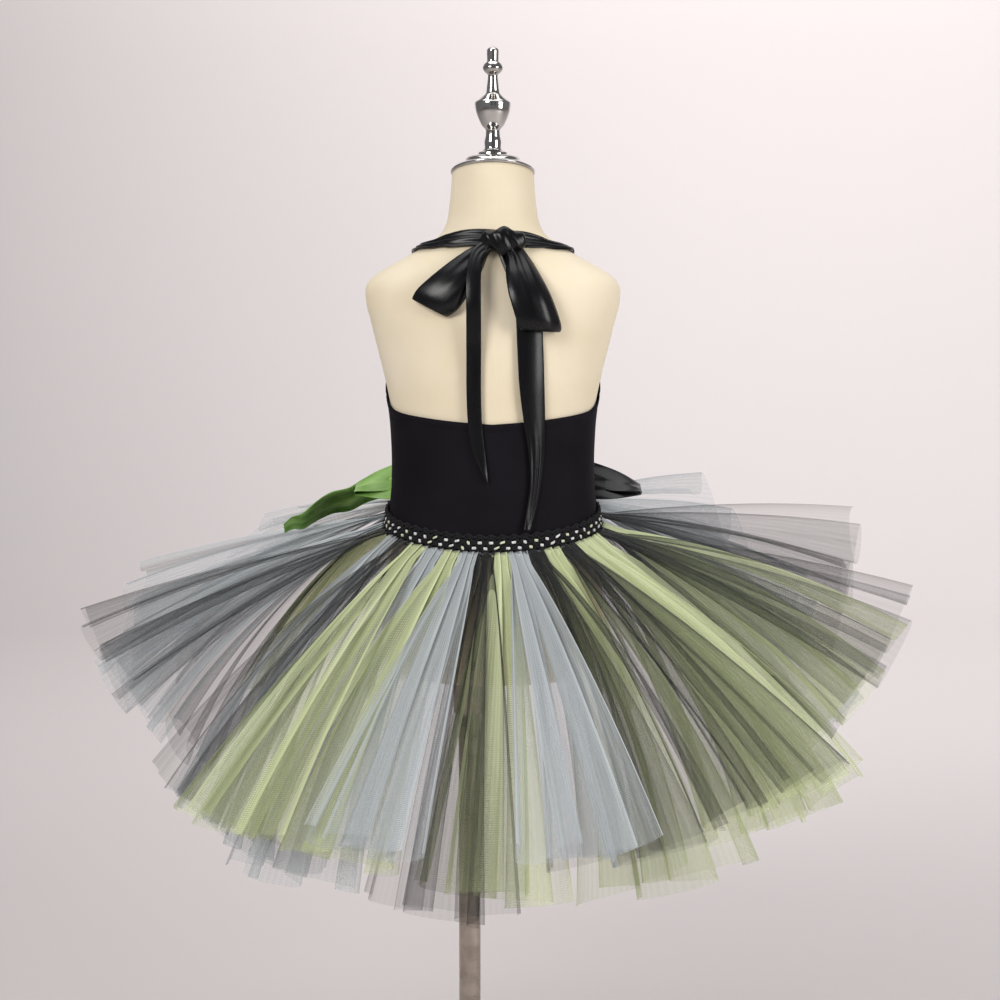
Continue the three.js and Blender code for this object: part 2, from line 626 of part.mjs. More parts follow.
// A ribbon of the front bow. side mirrors it and reach scales its length beyond the knot.
function frontRibbon(table, steps, side, reach) {
  const grid = resample(table, steps).map((row) => ribbonPlaces().map((place) => {
    const knotX = Math.sign(row.x) * FRONT_KNOT.halfWidth;
    const x = knotX + reach * (row.x - knotX);
    return new THREE.Vector3(side * x, row.y + place * row.acrossY, row.z + place * row.acrossZ);
  }));
  return sheetWall(grid, SATIN_WALL);
}

// A tied knot: a rounded lump with shallow upright folds, over a centre point.
function knotLump(knot, centre) {
  const columns = 16;
  const rings = [-0.92, -0.6, -0.2, 0.2, 0.6, 0.92].map((level) => ringAngles(columns).map((angle) => {
    const girth = Math.sqrt(1 - level * level);
    const fold = 1 + 0.05 * Math.cos(2 * knot.folds * angle);
    const x = knot.halfWidth * girth * fold * Math.cos(angle);
    const y = knot.halfDepth * girth * fold * Math.sin(angle);
    return centre.clone().add(new THREE.Vector3(x, y, knot.halfHeight * level));
  }));
  const tip = new THREE.Vector3(0, 0, knot.halfHeight);
  return loft(rings, centre.clone().sub(tip), centre.clone().add(tip));
}

function buildBows() {
  const black = MATERIALS.blackSatin;
  const green = MATERIALS.greenSatin;
  addPart('halter_strap_left', halterStrap(-1), black);
  addPart('halter_strap_right', halterStrap(1), black);
  addPart('nape_knot', knotLump(KNOT, offBack(KNOT.x, KNOT.z, KNOT.lift)), black);
  addPart('nape_loop_left', backRibbon(LEFT_LOOP, LOOP_STEPS, LOOP_CUP), black);
  addPart('nape_loop_right', backRibbon(RIGHT_LOOP, LOOP_STEPS, LOOP_CUP), black);
  addPart('nape_tail_left', backRibbon(LEFT_TAIL, TAIL_STEPS, TAIL_CUP), black);
  addPart('nape_tail_right', backRibbon(RIGHT_TAIL, TAIL_STEPS, TAIL_CUP), black);

  const frontKnot = new THREE.Vector3(0, FRONT_KNOT.y, FRONT_KNOT.z);
  addPart('front_knot', knotLump(FRONT_KNOT, frontKnot), green);
  addPart('front_loop_black', frontRibbon(FRONT_LOOP, LOOP_STEPS, 1, 1), black);
  addPart('front_loop_green', frontRibbon(FRONT_LOOP, LOOP_STEPS, -1, GREEN_LOOP_SCALE), green);
  addPart('front_tail_green', frontRibbon(FRONT_TAIL, TAIL_STEPS, 1, 1), green);
}

// ---- The tulle skirt ----------------------------------------------------------------------

// A value at a turn from the back, eased between the values of its list.
function atTurn(values, turn) {
  const place = turn / TURN_STEP;
  const i = Math.min(Math.floor(place), values.length - 2);
  return THREE.MathUtils.lerp(values[i], values[i + 1], THREE.MathUtils.smoothstep(place - i, 0, 1));
}

// What sets one strip's hang. The two strips that meet at the middle of the back or the front
// are of one tier, so one droops a little less and the other a little more.
function stripHang(index) {
  const onRight = index < STRIP_COUNT / 2;
  const outward = onRight ? index : STRIP_COUNT - 1 - index;
  const tier = STRIP_TIERS[outward % STRIP_TIERS.length];
  const fromBack = (outward + 0.5) * STRIP_PITCH;
  const atMiddle = outward === 0 || outward === STRIP_COUNT / 2 - 1;
  const nudge = atMiddle ? MIDDLE_NUDGE * (onRight ? -1 : 1) : Math.sin(1.7 * index + 1);
  return {
    side: onRight ? 1 : -1,
    hemHalf: atTurn(tier.hemHalf, fromBack),
    azimuth: THREE.MathUtils.degToRad((index + 0.5) * STRIP_PITCH - 90),
    droop: THREE.MathUtils.degToRad(atTurn(tier.droop, fromBack) + nudge),
    bend: THREE.MathUtils.degToRad(tier.bend),
    twist: THREE.MathUtils.degToRad(atTurn(STRIP_TWIST, fromBack)),
    length: atTurn(tier.length, fromBack) * (1 + 0.015 * Math.sin(2.4 * index)),
    phase: 1.3 * index,
  };
}

// A strip: a fan that leaves the waistband's lower edge, widens from its gathered root to its
// hem, bends down along an arc and twists on edge towards the sides of the skirt, where the
// edge nearer the front rises. Soft waves grow towards the hem.
function tulleStrip(index) {
  const hang = stripHang(index);
  const arcRadius = hang.length / hang.bend;
  const startDroop = hang.droop - hang.bend / 2;
  const rootOut = (STRIP_WALL / 2) * Math.sin(startDroop);
  const centreY = torsoAt(WAIST_Z).centreY;
  const grid = STRIP_STATIONS.map((station) => {
    const droop = startDroop + hang.bend * station;
    const out = rootOut + arcRadius * (Math.sin(droop) - Math.sin(startDroop));
    const down = arcRadius * (Math.cos(startDroop) - Math.cos(droop));
    const rootLength = STRIP_ROOT_LENGTH / hang.length;
    const widened = Math.max(station - rootLength, 0) / (1 - rootLength);
    const half = THREE.MathUtils.lerp(STRIP_ROOT_HALF, hang.hemHalf, widened);
    const twist = -hang.side * hang.twist * Math.sqrt(widened);
    const reach = waistRadius(hang.azimuth) + out;
    return Array.from({ length: STRIP_COLUMNS + 1 }, (_, j) => {
      const place = (2 * j) / STRIP_COLUMNS - 1;
      const wave = WAVE_HEIGHT * widened * Math.sin(Math.PI * STRIP_WAVES * (place + 1) + hang.phase);
      const sideways = place * half * Math.cos(twist) + wave * Math.sin(twist);
      const lifted = wave * Math.cos(twist) - place * half * Math.sin(twist);
      const azimuth = hang.azimuth + Math.atan(sideways / reach);
      const radius = waistRadius(azimuth) + out + lifted * Math.sin(droop);
      return new THREE.Vector3(
        radius * Math.cos(azimuth),
        centreY + radius * Math.sin(azimuth),
        waistZ(azimuth) - ROOT_BELOW_WAIST - down + lifted * Math.cos(droop),
      );
    });
  });
  return sheetWall(grid, STRIP_WALL);
}

// The radius at which the strips leave the waistband.
function waistRadius(azimuth) {
  return torsoRadius(torsoAt(waistZ(azimuth) - ROOT_BELOW_WAIST), azimuth) + ROOT_LIFT;
}

function buildSkirt() {
  for (let index = 0; index < STRIP_COUNT; index += 1) {
    const name = `tulle_strip_${String(index + 1).padStart(2, '0')}`;
    addPart(name, tulleStrip(index), TULLE[STRIP_COLOURS[index]]);
  }
}

buildStand();
buildForm();
buildNeckCap();
buildFinial();
addPart('bodice_back', bodicePanel(Math.PI, BODICE_BACK_ROWS), MATERIALS.stretch);
addPart('bodice_front', bodicePanel(0, BODICE_FRONT_ROWS), MATERIALS.stretch);
addPart('waistband', waistband(), MATERIALS.crochet);
buildBows();
buildSkirt();

export default model;
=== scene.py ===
# %% [markdown]
# # A child's tutu dress on a limbless dress form
#
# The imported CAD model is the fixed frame. Every piece here stands for one or more of its nodes and
# rides on its one body, "root". Tables are in millimetres, in the CAD's own frame: the floor is
# z = 0, the form's upright axis is x = y = 0, the wearer faces +Y and their left side is -X.
# An azimuth turns from +X towards +Y. Meshes are in metres.

import math

import bpy
import numpy as np
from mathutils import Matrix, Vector


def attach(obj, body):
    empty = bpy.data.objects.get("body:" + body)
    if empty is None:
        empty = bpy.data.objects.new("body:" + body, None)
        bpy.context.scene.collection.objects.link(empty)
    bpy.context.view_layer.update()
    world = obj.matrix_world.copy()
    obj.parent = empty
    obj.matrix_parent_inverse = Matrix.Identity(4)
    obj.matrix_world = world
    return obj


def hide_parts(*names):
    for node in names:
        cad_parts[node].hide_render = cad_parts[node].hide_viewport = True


MM = 0.001
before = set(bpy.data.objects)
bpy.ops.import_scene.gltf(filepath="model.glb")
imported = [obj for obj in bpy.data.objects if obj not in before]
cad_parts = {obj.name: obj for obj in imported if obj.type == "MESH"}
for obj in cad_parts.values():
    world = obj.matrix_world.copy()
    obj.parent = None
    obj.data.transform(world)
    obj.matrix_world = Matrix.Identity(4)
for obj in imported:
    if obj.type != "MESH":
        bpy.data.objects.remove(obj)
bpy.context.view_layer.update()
print("CAD nodes:", len(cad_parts))

# %% [markdown]
# ## Camera
# A dress on a form is looked at from a few steps away and a little above its waist. A camera can
# be turned by typing its angles, but aiming it from its place at a target keeps the dress in the
# frame when either one moves, so the angles are worked out from the two points.

# %% A camera behind the wearer, looking slightly down
CAMERA_PLACE = (0.007, -1.9851, 0.9437)
CAMERA_TARGET = (0.007, 0.0, 0.700)
CAMERA_LENS = 72


def add_camera():
    data = bpy.data.cameras.new("camera")
    data.lens = CAMERA_LENS
    camera = bpy.data.objects.new("camera", data)
    bpy.context.scene.collection.objects.link(camera)
    camera.location = CAMERA_PLACE
    sight = Vector(CAMERA_TARGET) - Vector(CAMERA_PLACE)
    camera.rotation_euler = sight.to_track_quat("-Z", "Y").to_euler()
    bpy.context.scene.camera = camera


add_camera()
distance = (Vector(CAMERA_TARGET) - Vector(CAMERA_PLACE)).length
print("camera:", round(distance, 2), "m from the dress")

# %% [markdown]
# ## Curves through short tables
# Each shape is told by a few rows of sizes, as a maker's chart tells a pattern. A smooth curve
# object could join the rows, but it swings past them, and a torso would bulge between two rows.
# `eased` never passes its rows, and `resample` follows the bends of a ribbon more loosely.


# %% Values between the rows of a table
def eased(places, values, at):
    """Values between the rows of a table, at places that may be an array."""
    x, y = np.asarray(places, float), np.asarray(values, float)
    run = np.diff(y) / np.diff(x)
    slope = np.concatenate([run[:1], np.zeros(len(x) - 2), run[-1:]])
    same = run[:-1] * run[1:] > 0
    before, after = run[:-1][same], run[1:][same]
    slope[1:-1][same] = 2 * before * after / (before + after)
    at = np.clip(at, x[0], x[-1])
    i = np.clip(np.searchsorted(x, at) - 1, 0, len(x) - 2)
    span = x[i + 1] - x[i]
    t = (at - x[i]) / span
    low = (2 * t**3 - 3 * t**2 + 1) * y[i] + (t**3 - 2 * t**2 + t) * span * slope[i]
    high = (3 * t**2 - 2 * t**3) * y[i + 1] + (t**3 - t**2) * span * slope[i + 1]
    return low + high


# %% Rows at even steps of a table
def resample(rows, steps):
    """Each column runs on a curve through its values."""
    rows = np.asarray(rows, float)
    place = np.linspace(0, len(rows) - 1, steps + 1)
    i = np.minimum(place.astype(int), len(rows) - 2)
    t = (place - i)[:, None]
    a, b = rows[np.maximum(i - 1, 0)], rows[i]
    c, d = rows[i + 1], rows[np.minimum(i + 2, len(rows) - 1)]
    first, last = (c - a) / 2, (d - b) / 2
    cubic = 2 * b - 2 * c + first + last
    square = 3 * c - 3 * b - 2 * first - last
    return cubic * t**3 + square * t**2 + first * t + b


def smoothstep(low, high, value):
    """0 below low and 1 above high, eased between them."""
    t = np.clip((value - low) / (high - low), 0, 1)
    return t * t * (3 - 2 * t)


# %% [markdown]
# ## The torso's skin
# All the cloth rests on the form, so its skin is worked out first, as a formula. A shrinkwrap
# modifier could press each cloth onto a mesh, but it gives up where cloth lies in layers. The
# formula gives a point at any height off the skin, and layers stay apart by that height.

# %% Sections of the torso
# z, half width, half depth, centre y, squareness, slope
TORSO = np.array(
    [
        (525, 86, 68, 1, 2.2, 0),
        (530, 100, 80, 1, 2.2, 0),
        (545, 109, 87, 1, 2.2, 0),
        (575, 111.5, 88, 1, 2.2, 0),
        (610, 109.5, 85.5, 2, 2.2, 0),
        (645, 106, 82, 3, 2.2, 0),
        (680, 102.5, 79.5, 4, 2.2, 0),
        (710, 99.4, 78.5, 4, 2.2, 0),
        (740, 98.6, 78, 4, 2.2, 0),
        (770, 99.6, 77.5, 3, 2.2, 0),
        (800, 102.6, 77.5, 2, 2.2, 0),
        (830, 108.8, 77, 1, 2.2, 0),
        (855, 115, 75.5, 1, 2.2, 0),
        (878, 120.5, 73, 0, 2.2, 0),
        (896, 125, 69.5, 0, 2.2, 0),
        (908, 126, 66, 0, 2.2, 0),
        (917, 123, 62.5, 0, 2.2, 0),
        (925, 114, 59, 0, 2.2, 0),
        (937, 93, 54, 1, 2.15, 0),
        (948, 74, 49.5, 2, 2.1, 0),
        (958, 57.5, 46, 3, 2.05, 0),
        (968, 48.5, 43.5, 5, 2, 0),
        (980, 44.5, 42, 7, 2, 0),
        (1000, 42, 41, 9, 2, 0.12),
        (1022, 40.2, 40.2, 10, 2, 0.25),
    ]
)


def section(z):
    """Half width, half depth, centre y, squareness and slope of the torso at heights z."""
    return [eased(TORSO[:, 0], TORSO[:, column], z) for column in range(1, 6)]


def radius_at(wide, deep, squareness, azimuth):
    """Distance from a section's middle to its edge."""
    x, y = np.abs(np.cos(azimuth)) / wide, np.abs(np.sin(azimuth)) / deep
    return (x**squareness + y**squareness) ** (-1 / squareness)


# %% Points on the skin, and at a height off it
def torso_point(azimuth, z):
    wide, deep, centre, squareness, slope = section(z)
    radius = radius_at(wide, deep, squareness, azimuth)
    forward = radius * np.sin(azimuth)
    return np.stack([radius * np.cos(azimuth), centre + forward, z - slope * forward], axis=-1)


def off_torso(azimuth, z, lift):
    """Points on the torso's skin, moved out along its normal."""
    azimuth, z, lift = np.broadcast_arrays(azimuth, z, lift)
    along = torso_point(azimuth + 0.01, z) - torso_point(azimuth - 0.01, z)
    up = torso_point(azimuth, z + 1.0) - torso_point(azimuth, z - 1.0)
    normal = np.cross(along, up)
    normal /= np.linalg.norm(normal, axis=-1, keepdims=True)
    return torso_point(azimuth, z) + normal * lift[..., None]


def off_back(x, z, lift):
    """Points behind the back at x and z, a level distance off the skin."""
    wide, deep, centre, squareness, _ = section(z)
    depth = deep * (1 - np.minimum(np.abs(x) / wide, 0.999) ** squareness) ** (1 / squareness)
    return np.stack([x, centre - depth - lift, z], axis=-1)


# %% Points moved to a height off the skin
SETTLE_ROUNDS = 8


def skin_ratio(point):
    """How far out a point lies, as a share of the skin's own radius there."""
    wide, deep, centre, squareness, _ = section(point[..., 2])
    forward = point[..., 1] - centre
    radius = radius_at(wide, deep, squareness, np.arctan2(forward, point[..., 0]))
    return np.hypot(point[..., 0], forward) / radius - 1


def skin_gradient(point):
    steps = 0.5 * np.eye(3)
    rises = [skin_ratio(point + step) - skin_ratio(point - step) for step in steps]
    return np.stack(rises, axis=-1)


def settle(point, lift):
    """Moves points to a height off the torso's skin."""
    for _ in range(SETTLE_ROUNDS):
        gradient = skin_gradient(point)
        steepness = np.linalg.norm(gradient, axis=-1)
        distance = skin_ratio(point) / steepness
        point = point + gradient * ((lift - distance) / steepness)[..., None]
    return point


# %% [markdown]
# ## Meshes from grids of points
# Woven and knitted cloth is a grid of threads. A plane could be subdivided and pushed into shape,
# but a grid of worked-out points gives the folds at once. Each vertex keeps its place on the flat
# cloth as its UV, so that the threads of a finish follow the folds.


# %% Faces of a grid, and a mesh from points
def grid_faces(rows, columns, ring):
    """Four-sided faces between neighbours. A ring joins its last column to its first."""
    spans = columns if ring else columns - 1
    i, j = np.meshgrid(np.arange(rows - 1), np.arange(spans), indexing="ij")
    a, b = i * columns + j, i * columns + (j + 1) % columns
    return np.stack([a, b, b + columns, a + columns], axis=-1).reshape(-1, 4)


def add_mesh(name, points, faces, material):
    mesh = bpy.data.meshes.new(name)
    vertices = (np.asarray(points).reshape(-1, 3) * MM).tolist()
    mesh.from_pydata(vertices, [], [list(map(int, face)) for face in faces])
    mesh.update()
    mesh.polygons.foreach_set("use_smooth", [True] * len(mesh.polygons))
    mesh.materials.append(material)
    piece = bpy.data.objects.new(name, mesh)
    bpy.context.scene.collection.objects.link(piece)
    return piece


# %% A sheet that remembers its flat cloth
def add_grid(name, points, material, ring=False, uv=None):
    """A sheet through a grid of points, with the flat cloth's own place, in metres, as its UV."""
    rows, columns = points.shape[:2]
    piece = add_mesh(name, points, grid_faces(rows, columns, ring), material)
    if uv is not None:
        flat = np.broadcast_to(uv, (rows, columns, 2)).reshape(-1, 2) * MM
        corners = np.empty(len(piece.data.loops), int)
        piece.data.loops.foreach_get("vertex_index", corners)
        layer = piece.data.uv_layers.new(name="cloth")
        layer.data.foreach_set("uv", flat[corners].astype(np.float32).ravel())
    return piece


# %% Closed ends, a wall's thickness, and what a piece stands for
def cap_ends(piece, columns):
    """Closes the first and last ring of a lofted piece."""
    mesh = piece.data
    count = len(mesh.vertices)
    points = [v.co[:] for v in mesh.vertices]
    faces = [list(p.vertices) for p in mesh.polygons]
    faces += [list(range(columns))[::-1], list(range(count - columns, count))]
    mesh.clear_geometry()
    mesh.from_pydata(points, [], faces)
    mesh.update()
    mesh.polygons.foreach_set("use_smooth", [len(p.vertices) == 4 for p in mesh.polygons])


def thicken(piece, thickness):
    """Gives a sheet two faces and an edge."""
    solid = piece.modifiers.new("wall", "SOLIDIFY")
    solid.thickness = thickness * MM
    solid.offset = 0


def stands_for(piece, slot, *nodes):
    """The piece takes the place of these CAD nodes, which it hides. slot, the material slot that
    they have, is not used.
    """
    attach(piece, "root")
    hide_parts(*nodes)
    return piece


# %% [markdown]
# ## Shader values with arithmetic
# A finish is a formula of patterns, and its sense is lost when it is built node by node. `Value`
# wraps one socket, and each sign in a Python expression adds its Math node. `Finish` holds the
# one shader of a material and the coordinates that feed it.


# %% One socket that can be reckoned with
class Value:
    def __init__(self, tree, socket):
        self.tree = tree
        self.socket = socket

    def node(self, kind, inputs, output=0, **settings):
        """Any other node, fed with values or numbers, as a value."""
        node = self.tree.nodes.new("ShaderNode" + kind)
        for key, setting in settings.items():
            setattr(node, key, setting)
        for key, value in inputs.items():
            if isinstance(value, Value):
                self.tree.links.new(value.socket, node.inputs[key])
            else:
                node.inputs[key].default_value = value
        return Value(self.tree, node.outputs[output])

    def maths(self, operation, *terms):
        return self.node("Math", dict(enumerate(terms)), operation=operation)

    def __add__(self, other):
        return self.maths("ADD", self, other)

    def __radd__(self, other):
        return self.maths("ADD", other, self)

    def __rsub__(self, other):
        return self.maths("SUBTRACT", other, self)

    def __mul__(self, other):
        return self.maths("MULTIPLY", self, other)

    def __rmul__(self, other):
        return self.maths("MULTIPLY", other, self)

    def __rpow__(self, other):
        return self.maths("POWER", other, self)

    def parts(self):
        """The three parts of a vector."""
        split = self.node("SeparateXYZ", {0: self})
        return [Value(self.tree, split.socket.node.outputs[i]) for i in range(3)]

    def wave(self, period):
        """A sine from 0 to 1 of this length."""
        turns = self * (2 * math.pi / period)
        return self.maths("SINE", turns) * 0.5 + 0.5

    def within(self, low, high):
        """0 at low and 1 at high."""
        return self.node("MapRange", {0: self, 1: low, 2: high, 3: 0.0, 4: 1.0})

    def between(self, dark, light):
        """A colour between two, by this value."""
        inputs = {0: self, 6: (*dark, 1), 7: (*light, 1)}
        return self.node("Mix", inputs, output=2, data_type="RGBA")


# %% A material in the making
class Finish:
    """Its coordinates and its one shader. Numbers that don't vary are set by their names."""

    def __init__(self, name, **numbers):
        self.material = bpy.data.materials.new(name)
        self.material.use_nodes = True
        self.tree = self.material.node_tree
        self.shader = next(n for n in self.tree.nodes if n.type == "BSDF_PRINCIPLED")
        self.source = Value(self.tree, None)
        for key, number in numbers.items():
            socket = key.replace("_", " ").title().replace("Ior", "IOR")
            self.shader.inputs[socket].default_value = number

    def set(self, key, value):
        self.tree.links.new(value.socket, self.shader.inputs[key])

    def place(self):
        return self.source.node("TexCoord", {}, output="Object")

    def cloth(self):
        """Across and along the flat cloth, in metres."""
        return self.source.node("UVMap", {}, uv_map="cloth").parts()[:2]

    def noise(self, coords, scale, detail=2.0):
        inputs = {"Vector": coords, "Scale": scale, "Detail": detail}
        return self.source.node("TexNoise", inputs)

    def joined(self, x, y, z=0.0):
        return self.source.node("CombineXYZ", {0: x, 1: y, 2: z})

    def bump(self, height, depth, strength=1.0):
        """depth is the height's full range in metres."""
        inputs = {"Height": height, "Distance": depth, "Strength": strength}
        self.set("Normal", self.source.node("Bump", inputs))


# %% [markdown]
# ## Jersey
# The form's cover and the bodice are smooth knits. A picture of knit could be wrapped round them,
# but it would need an unwrapped mesh and show its repeat. Fine waves across and up the object's
# own coordinates make stitches of one size everywhere, and a slow noise makes the tone uneven.


# %% Jersey
def jersey(name, dark, light, thread, sheen):
    """thread is the width of a stitch in metres."""
    finish = Finish(
        name, roughness=0.75, sheen_weight=sheen, sheen_roughness=0.4, specular_ior_level=0.12
    )
    place = finish.place()
    x, _, z = place.parts()
    tone = finish.noise(place, 14.0, 4.0)
    ribs = x.wave(thread) * (z.wave(thread * 0.8) * 0.5 + 0.5)
    finish.set("Base Color", tone.within(0.3, 0.7).between(dark, light))
    finish.bump(ribs + finish.noise(place, 900.0) * 0.4, 0.00012, 0.6)
    return finish.material


# %% [markdown]
# ## Chrome and steel
# The cap and finial are turned and plated, the pole and base are brushed steel. A perfect mirror
# looks drawn rather than made. Faint rings of polish, squeezed along the lathe's axis, and a few
# dull marks change its roughness from place to place.


# %% Turned metal
def metal(name, dark, light, roughness, streak):
    """streak is how much the rings and marks roughen it."""
    finish = Finish(name, metallic=1.0)
    place = finish.place()
    x, y, z = place.parts()
    rings = finish.noise(finish.joined(x * 20.0, y * 20.0, z * 900.0), 1.0, 3.0)
    marks = finish.noise(place, 60.0, 5.0)
    finish.set("Base Color", marks.within(0.35, 0.7).between(dark, light))
    finish.set("Roughness", rings * streak + marks.within(0.45, 0.8) * streak + roughness)
    finish.bump(rings, 0.00004, 0.3)
    return finish.material


# %% [markdown]
# ## Satin and yarn
# In satin the lengthwise threads float over the rest, which gives its lustre. The threads are read
# from the flat ribbon's UV and not from the object, so that they stay with it through every bend.
# Crochet yarn is matt and slightly fluffy, and a bump of slanting plies is enough at its size.


# %% Satin ribbon, and the yarn of the band
def satin(name, dark, light, roughness):
    """Floats of thread along the ribbon, and a fine rib across it."""
    finish = Finish(name, specular_ior_level=0.32)
    across, along = finish.cloth()
    threads = finish.noise(finish.joined(across * 2600.0, along * 90.0), 1.0, 2.0)
    tone = finish.noise(finish.joined(across * 60.0, along * 25.0), 1.0, 3.0)
    finish.set("Base Color", tone.within(0.35, 0.65).between(dark, light))
    finish.set("Roughness", threads * 0.10 + roughness)
    finish.bump(threads + along.wave(0.0009) * 0.3, 0.00005, 0.5)
    return finish.material


def yarn(name, dark, light):
    """Crochet yarn: slanting plies and a little fluff."""
    finish = Finish(name, roughness=0.85, sheen_weight=0.05, specular_ior_level=0.2)
    place = finish.place()
    plies = finish.noise(place, 700.0, 3.0)
    finish.set("Base Color", plies.within(0.3, 0.7).between(dark, light))
    finish.bump(plies, 0.0004, 0.8)
    return finish.material


# %% [markdown]
# ## Tulle
# Tulle is a net that is mostly holes. Its threads could be modelled one by one, in millions of
# faces. Here each point of a strip knows its fullness, which is how many times the cloth lies over
# itself there. Each layer leaves a share of the light through, and the share that is left after
# all of them is a power, so that one formula is dense at the waist and sheer at the hem.


# %% Fine net
def tulle(name, dark, light, cover):
    """cover is the share of light that one layer of net stops."""
    finish = Finish(name, roughness=0.8, sheen_weight=0.2, specular_ior_level=0.25)
    across, along = finish.cloth()
    fullness = finish.source.node("Attribute", {}, output="Fac", attribute_name="fullness")
    threads = finish.noise(finish.joined(across * 130.0, along * 3.0), 1.0, 2.0)
    streaks = finish.noise(finish.joined(across * 45.0, along * 1.8), 1.0, 3.0)
    mesh = across.wave(0.0023) * along.wave(0.0021)
    bunched = threads * 0.3 + streaks.within(0.60, 0.68) * 0.6 + 0.8
    layers = fullness * bunched * (mesh * 0.6 + 0.8)
    finish.set("Alpha", 1 - (1 - cover) ** layers)
    tone = threads * 0.3 + streaks * 0.7
    finish.set("Base Color", tone.within(0.34, 0.66).between(dark, light))
    return finish.material


# %% The finishes of this dress and its form
COVER = jersey("form_cover", (0.80, 0.69, 0.50), (0.86, 0.76, 0.59), 0.0011, 0.15)
STRETCH = jersey("stretch_black", (0.005, 0.0035, 0.006), (0.0085, 0.0065, 0.0105), 0.0009, 0.0)
CHROME = metal("chrome", (0.46, 0.445, 0.42), (0.64, 0.62, 0.60), 0.05, 0.06)
STEEL = metal("stand_steel", (0.36, 0.31, 0.26), (0.50, 0.44, 0.38), 0.22, 0.12)
BLACK_SATIN = satin("satin_black", (0.0015, 0.0015, 0.0022), (0.003, 0.003, 0.0042), 0.23)
GREEN_SATIN = satin("satin_green", (0.14, 0.31, 0.045), (0.34, 0.56, 0.16), 0.27)
CROCHET = yarn("crochet_black", (0.004, 0.004, 0.005), (0.015, 0.014, 0.017))
# letter: the CAD's slot, and the material
TULLE = {
    "G": ("tulle_lime", tulle("tulle_lime", (0.45, 0.51, 0.26), (0.74, 0.79, 0.49), 0.42)),
    "W": ("tulle_white", tulle("tulle_white", (0.385, 0.42, 0.44), (0.60, 0.64, 0.665), 0.41)),
    "K": ("tulle_black", tulle("tulle_black", (0.007, 0.008, 0.009), (0.020, 0.022, 0.024), 0.255)),
}
print("finishes:", len(bpy.data.materials))

# %% [markdown]
# ## The torso form
# The form is a firm torso in a jersey cover, with no arms or head. It could be sculpted from a
# sphere, but its width and depth are known at each height, so it is lofted through its sections.

# %% The torso, lofted
TORSO_SIDES = 96
TORSO_BEND = 545  # below it the torso turns in, and its rows lie closer


def torso_form():
    low, top = TORSO[0, 0], TORSO[-1, 0]
    z = np.concatenate([np.linspace(low, TORSO_BEND, 9)[:-1], np.linspace(TORSO_BEND, top, 130)])
    azimuth = np.linspace(0, 2 * math.pi, TORSO_SIDES, endpoint=False)
    piece = add_grid("torso", torso_point(azimuth[None, :], z[:, None]), COVER, ring=True)
    cap_ends(piece, TORSO_SIDES)
    stands_for(piece, "form_cover", "form_torso")


# %% [markdown]
# ## Turned parts
# The cap, finial, pole, socket and base were made on a lathe. A spin of a profile would do, but it
# leaves a seam where its ends meet. Here a circle is drawn up through rows of height and radius,
# and a bevel rounds the sharp rims.

# %% A circle drawn up through rows of height and radius
RIM_ANGLE = 40
SMOOTH_ANGLE = 50


def turned(name, rows, x, y, material, rim=0.5, sides=64):
    """A turned solid through rows of (height, radius)."""
    bpy.ops.object.select_all(action="DESELECT")
    height, radius = rows[0]
    place = (x * MM, y * MM, height * MM)
    bpy.ops.mesh.primitive_circle_add(
        vertices=sides, radius=radius * MM, fill_type="NGON", location=place
    )
    piece = bpy.context.object
    piece.name = piece.data.name = name
    bpy.ops.object.transform_apply(location=True, rotation=True, scale=True)
    bpy.ops.object.mode_set(mode="EDIT")
    bpy.ops.mesh.select_all(action="SELECT")
    for (low, before), (high, after) in zip(rows, rows[1:]):
        rise = {"value": (0, 0, (high - low) * MM)}
        bpy.ops.mesh.extrude_region_move(TRANSFORM_OT_translate=rise)
        ratio = after / before
        centre = (x * MM, y * MM, high * MM)
        bpy.ops.transform.resize(value=(ratio, ratio, 1), center_override=centre)
    bpy.ops.mesh.select_all(action="SELECT")
    bpy.ops.mesh.normals_make_consistent(inside=False)
    bpy.ops.object.mode_set(mode="OBJECT")
    if rim:
        bevel = piece.modifiers.new("rim", "BEVEL")
        bevel.width = rim * MM
        bevel.segments = 2
        bevel.limit_method = "ANGLE"
        bevel.angle_limit = math.radians(RIM_ANGLE)
        bpy.ops.object.modifier_apply(modifier=bevel.name)
    bpy.ops.object.shade_smooth_by_angle(angle=math.radians(SMOOTH_ANGLE))
    piece.data.materials.append(material)
    return piece


def between_rows(rows, step):
    """Heights and radii at even heights of a smooth profile."""
    table = np.asarray(rows, float)
    heights = np.arange(table[0, 0], table[-1, 0], step)
    return [(float(z), float(eased(table[:, 0], table[:, 1], z))) for z in [*heights, table[-1, 0]]]


# %% Profiles of the cap and finial, in rows of height and radius
# The cap has a third column, its slope towards the front.
NECK_CAP = [
    (1022.4, 41, 0.25),
    (1024.6, 41.6, 0.25),
    (1026, 40.4, 0.24),
    (1029.5, 36, 0.19),
    (1034.5, 27.5, 0.08),
    (1037.5, 26.5, 0.03),
    (1039.6, 24, 0),
    (1040.8, 20, 0),
]
CAP_Y = 10
FINIAL_STEP = 1.1
FINIAL = [
    (1041.2, 14.5),
    (1043.6, 14),
    (1045, 10.5),
    (1048, 8),
    (1053, 8.3),
    (1060, 7),
    (1064.5, 6.8),
    (1069, 10.5),
    (1077, 14.5),
    (1085, 17),
    (1091.5, 17.6),
    (1094, 15),
    (1097, 11),
    (1101.5, 6.6),
    (1109, 5.6),
    (1118, 4.7),
    (1121, 8.2),
    (1125, 9.9),
    (1129, 8.2),
    (1131.5, 5.6),
    (1142, 5.8),
    (1144.5, 3.6),
    (1145.2, 1.2),
]

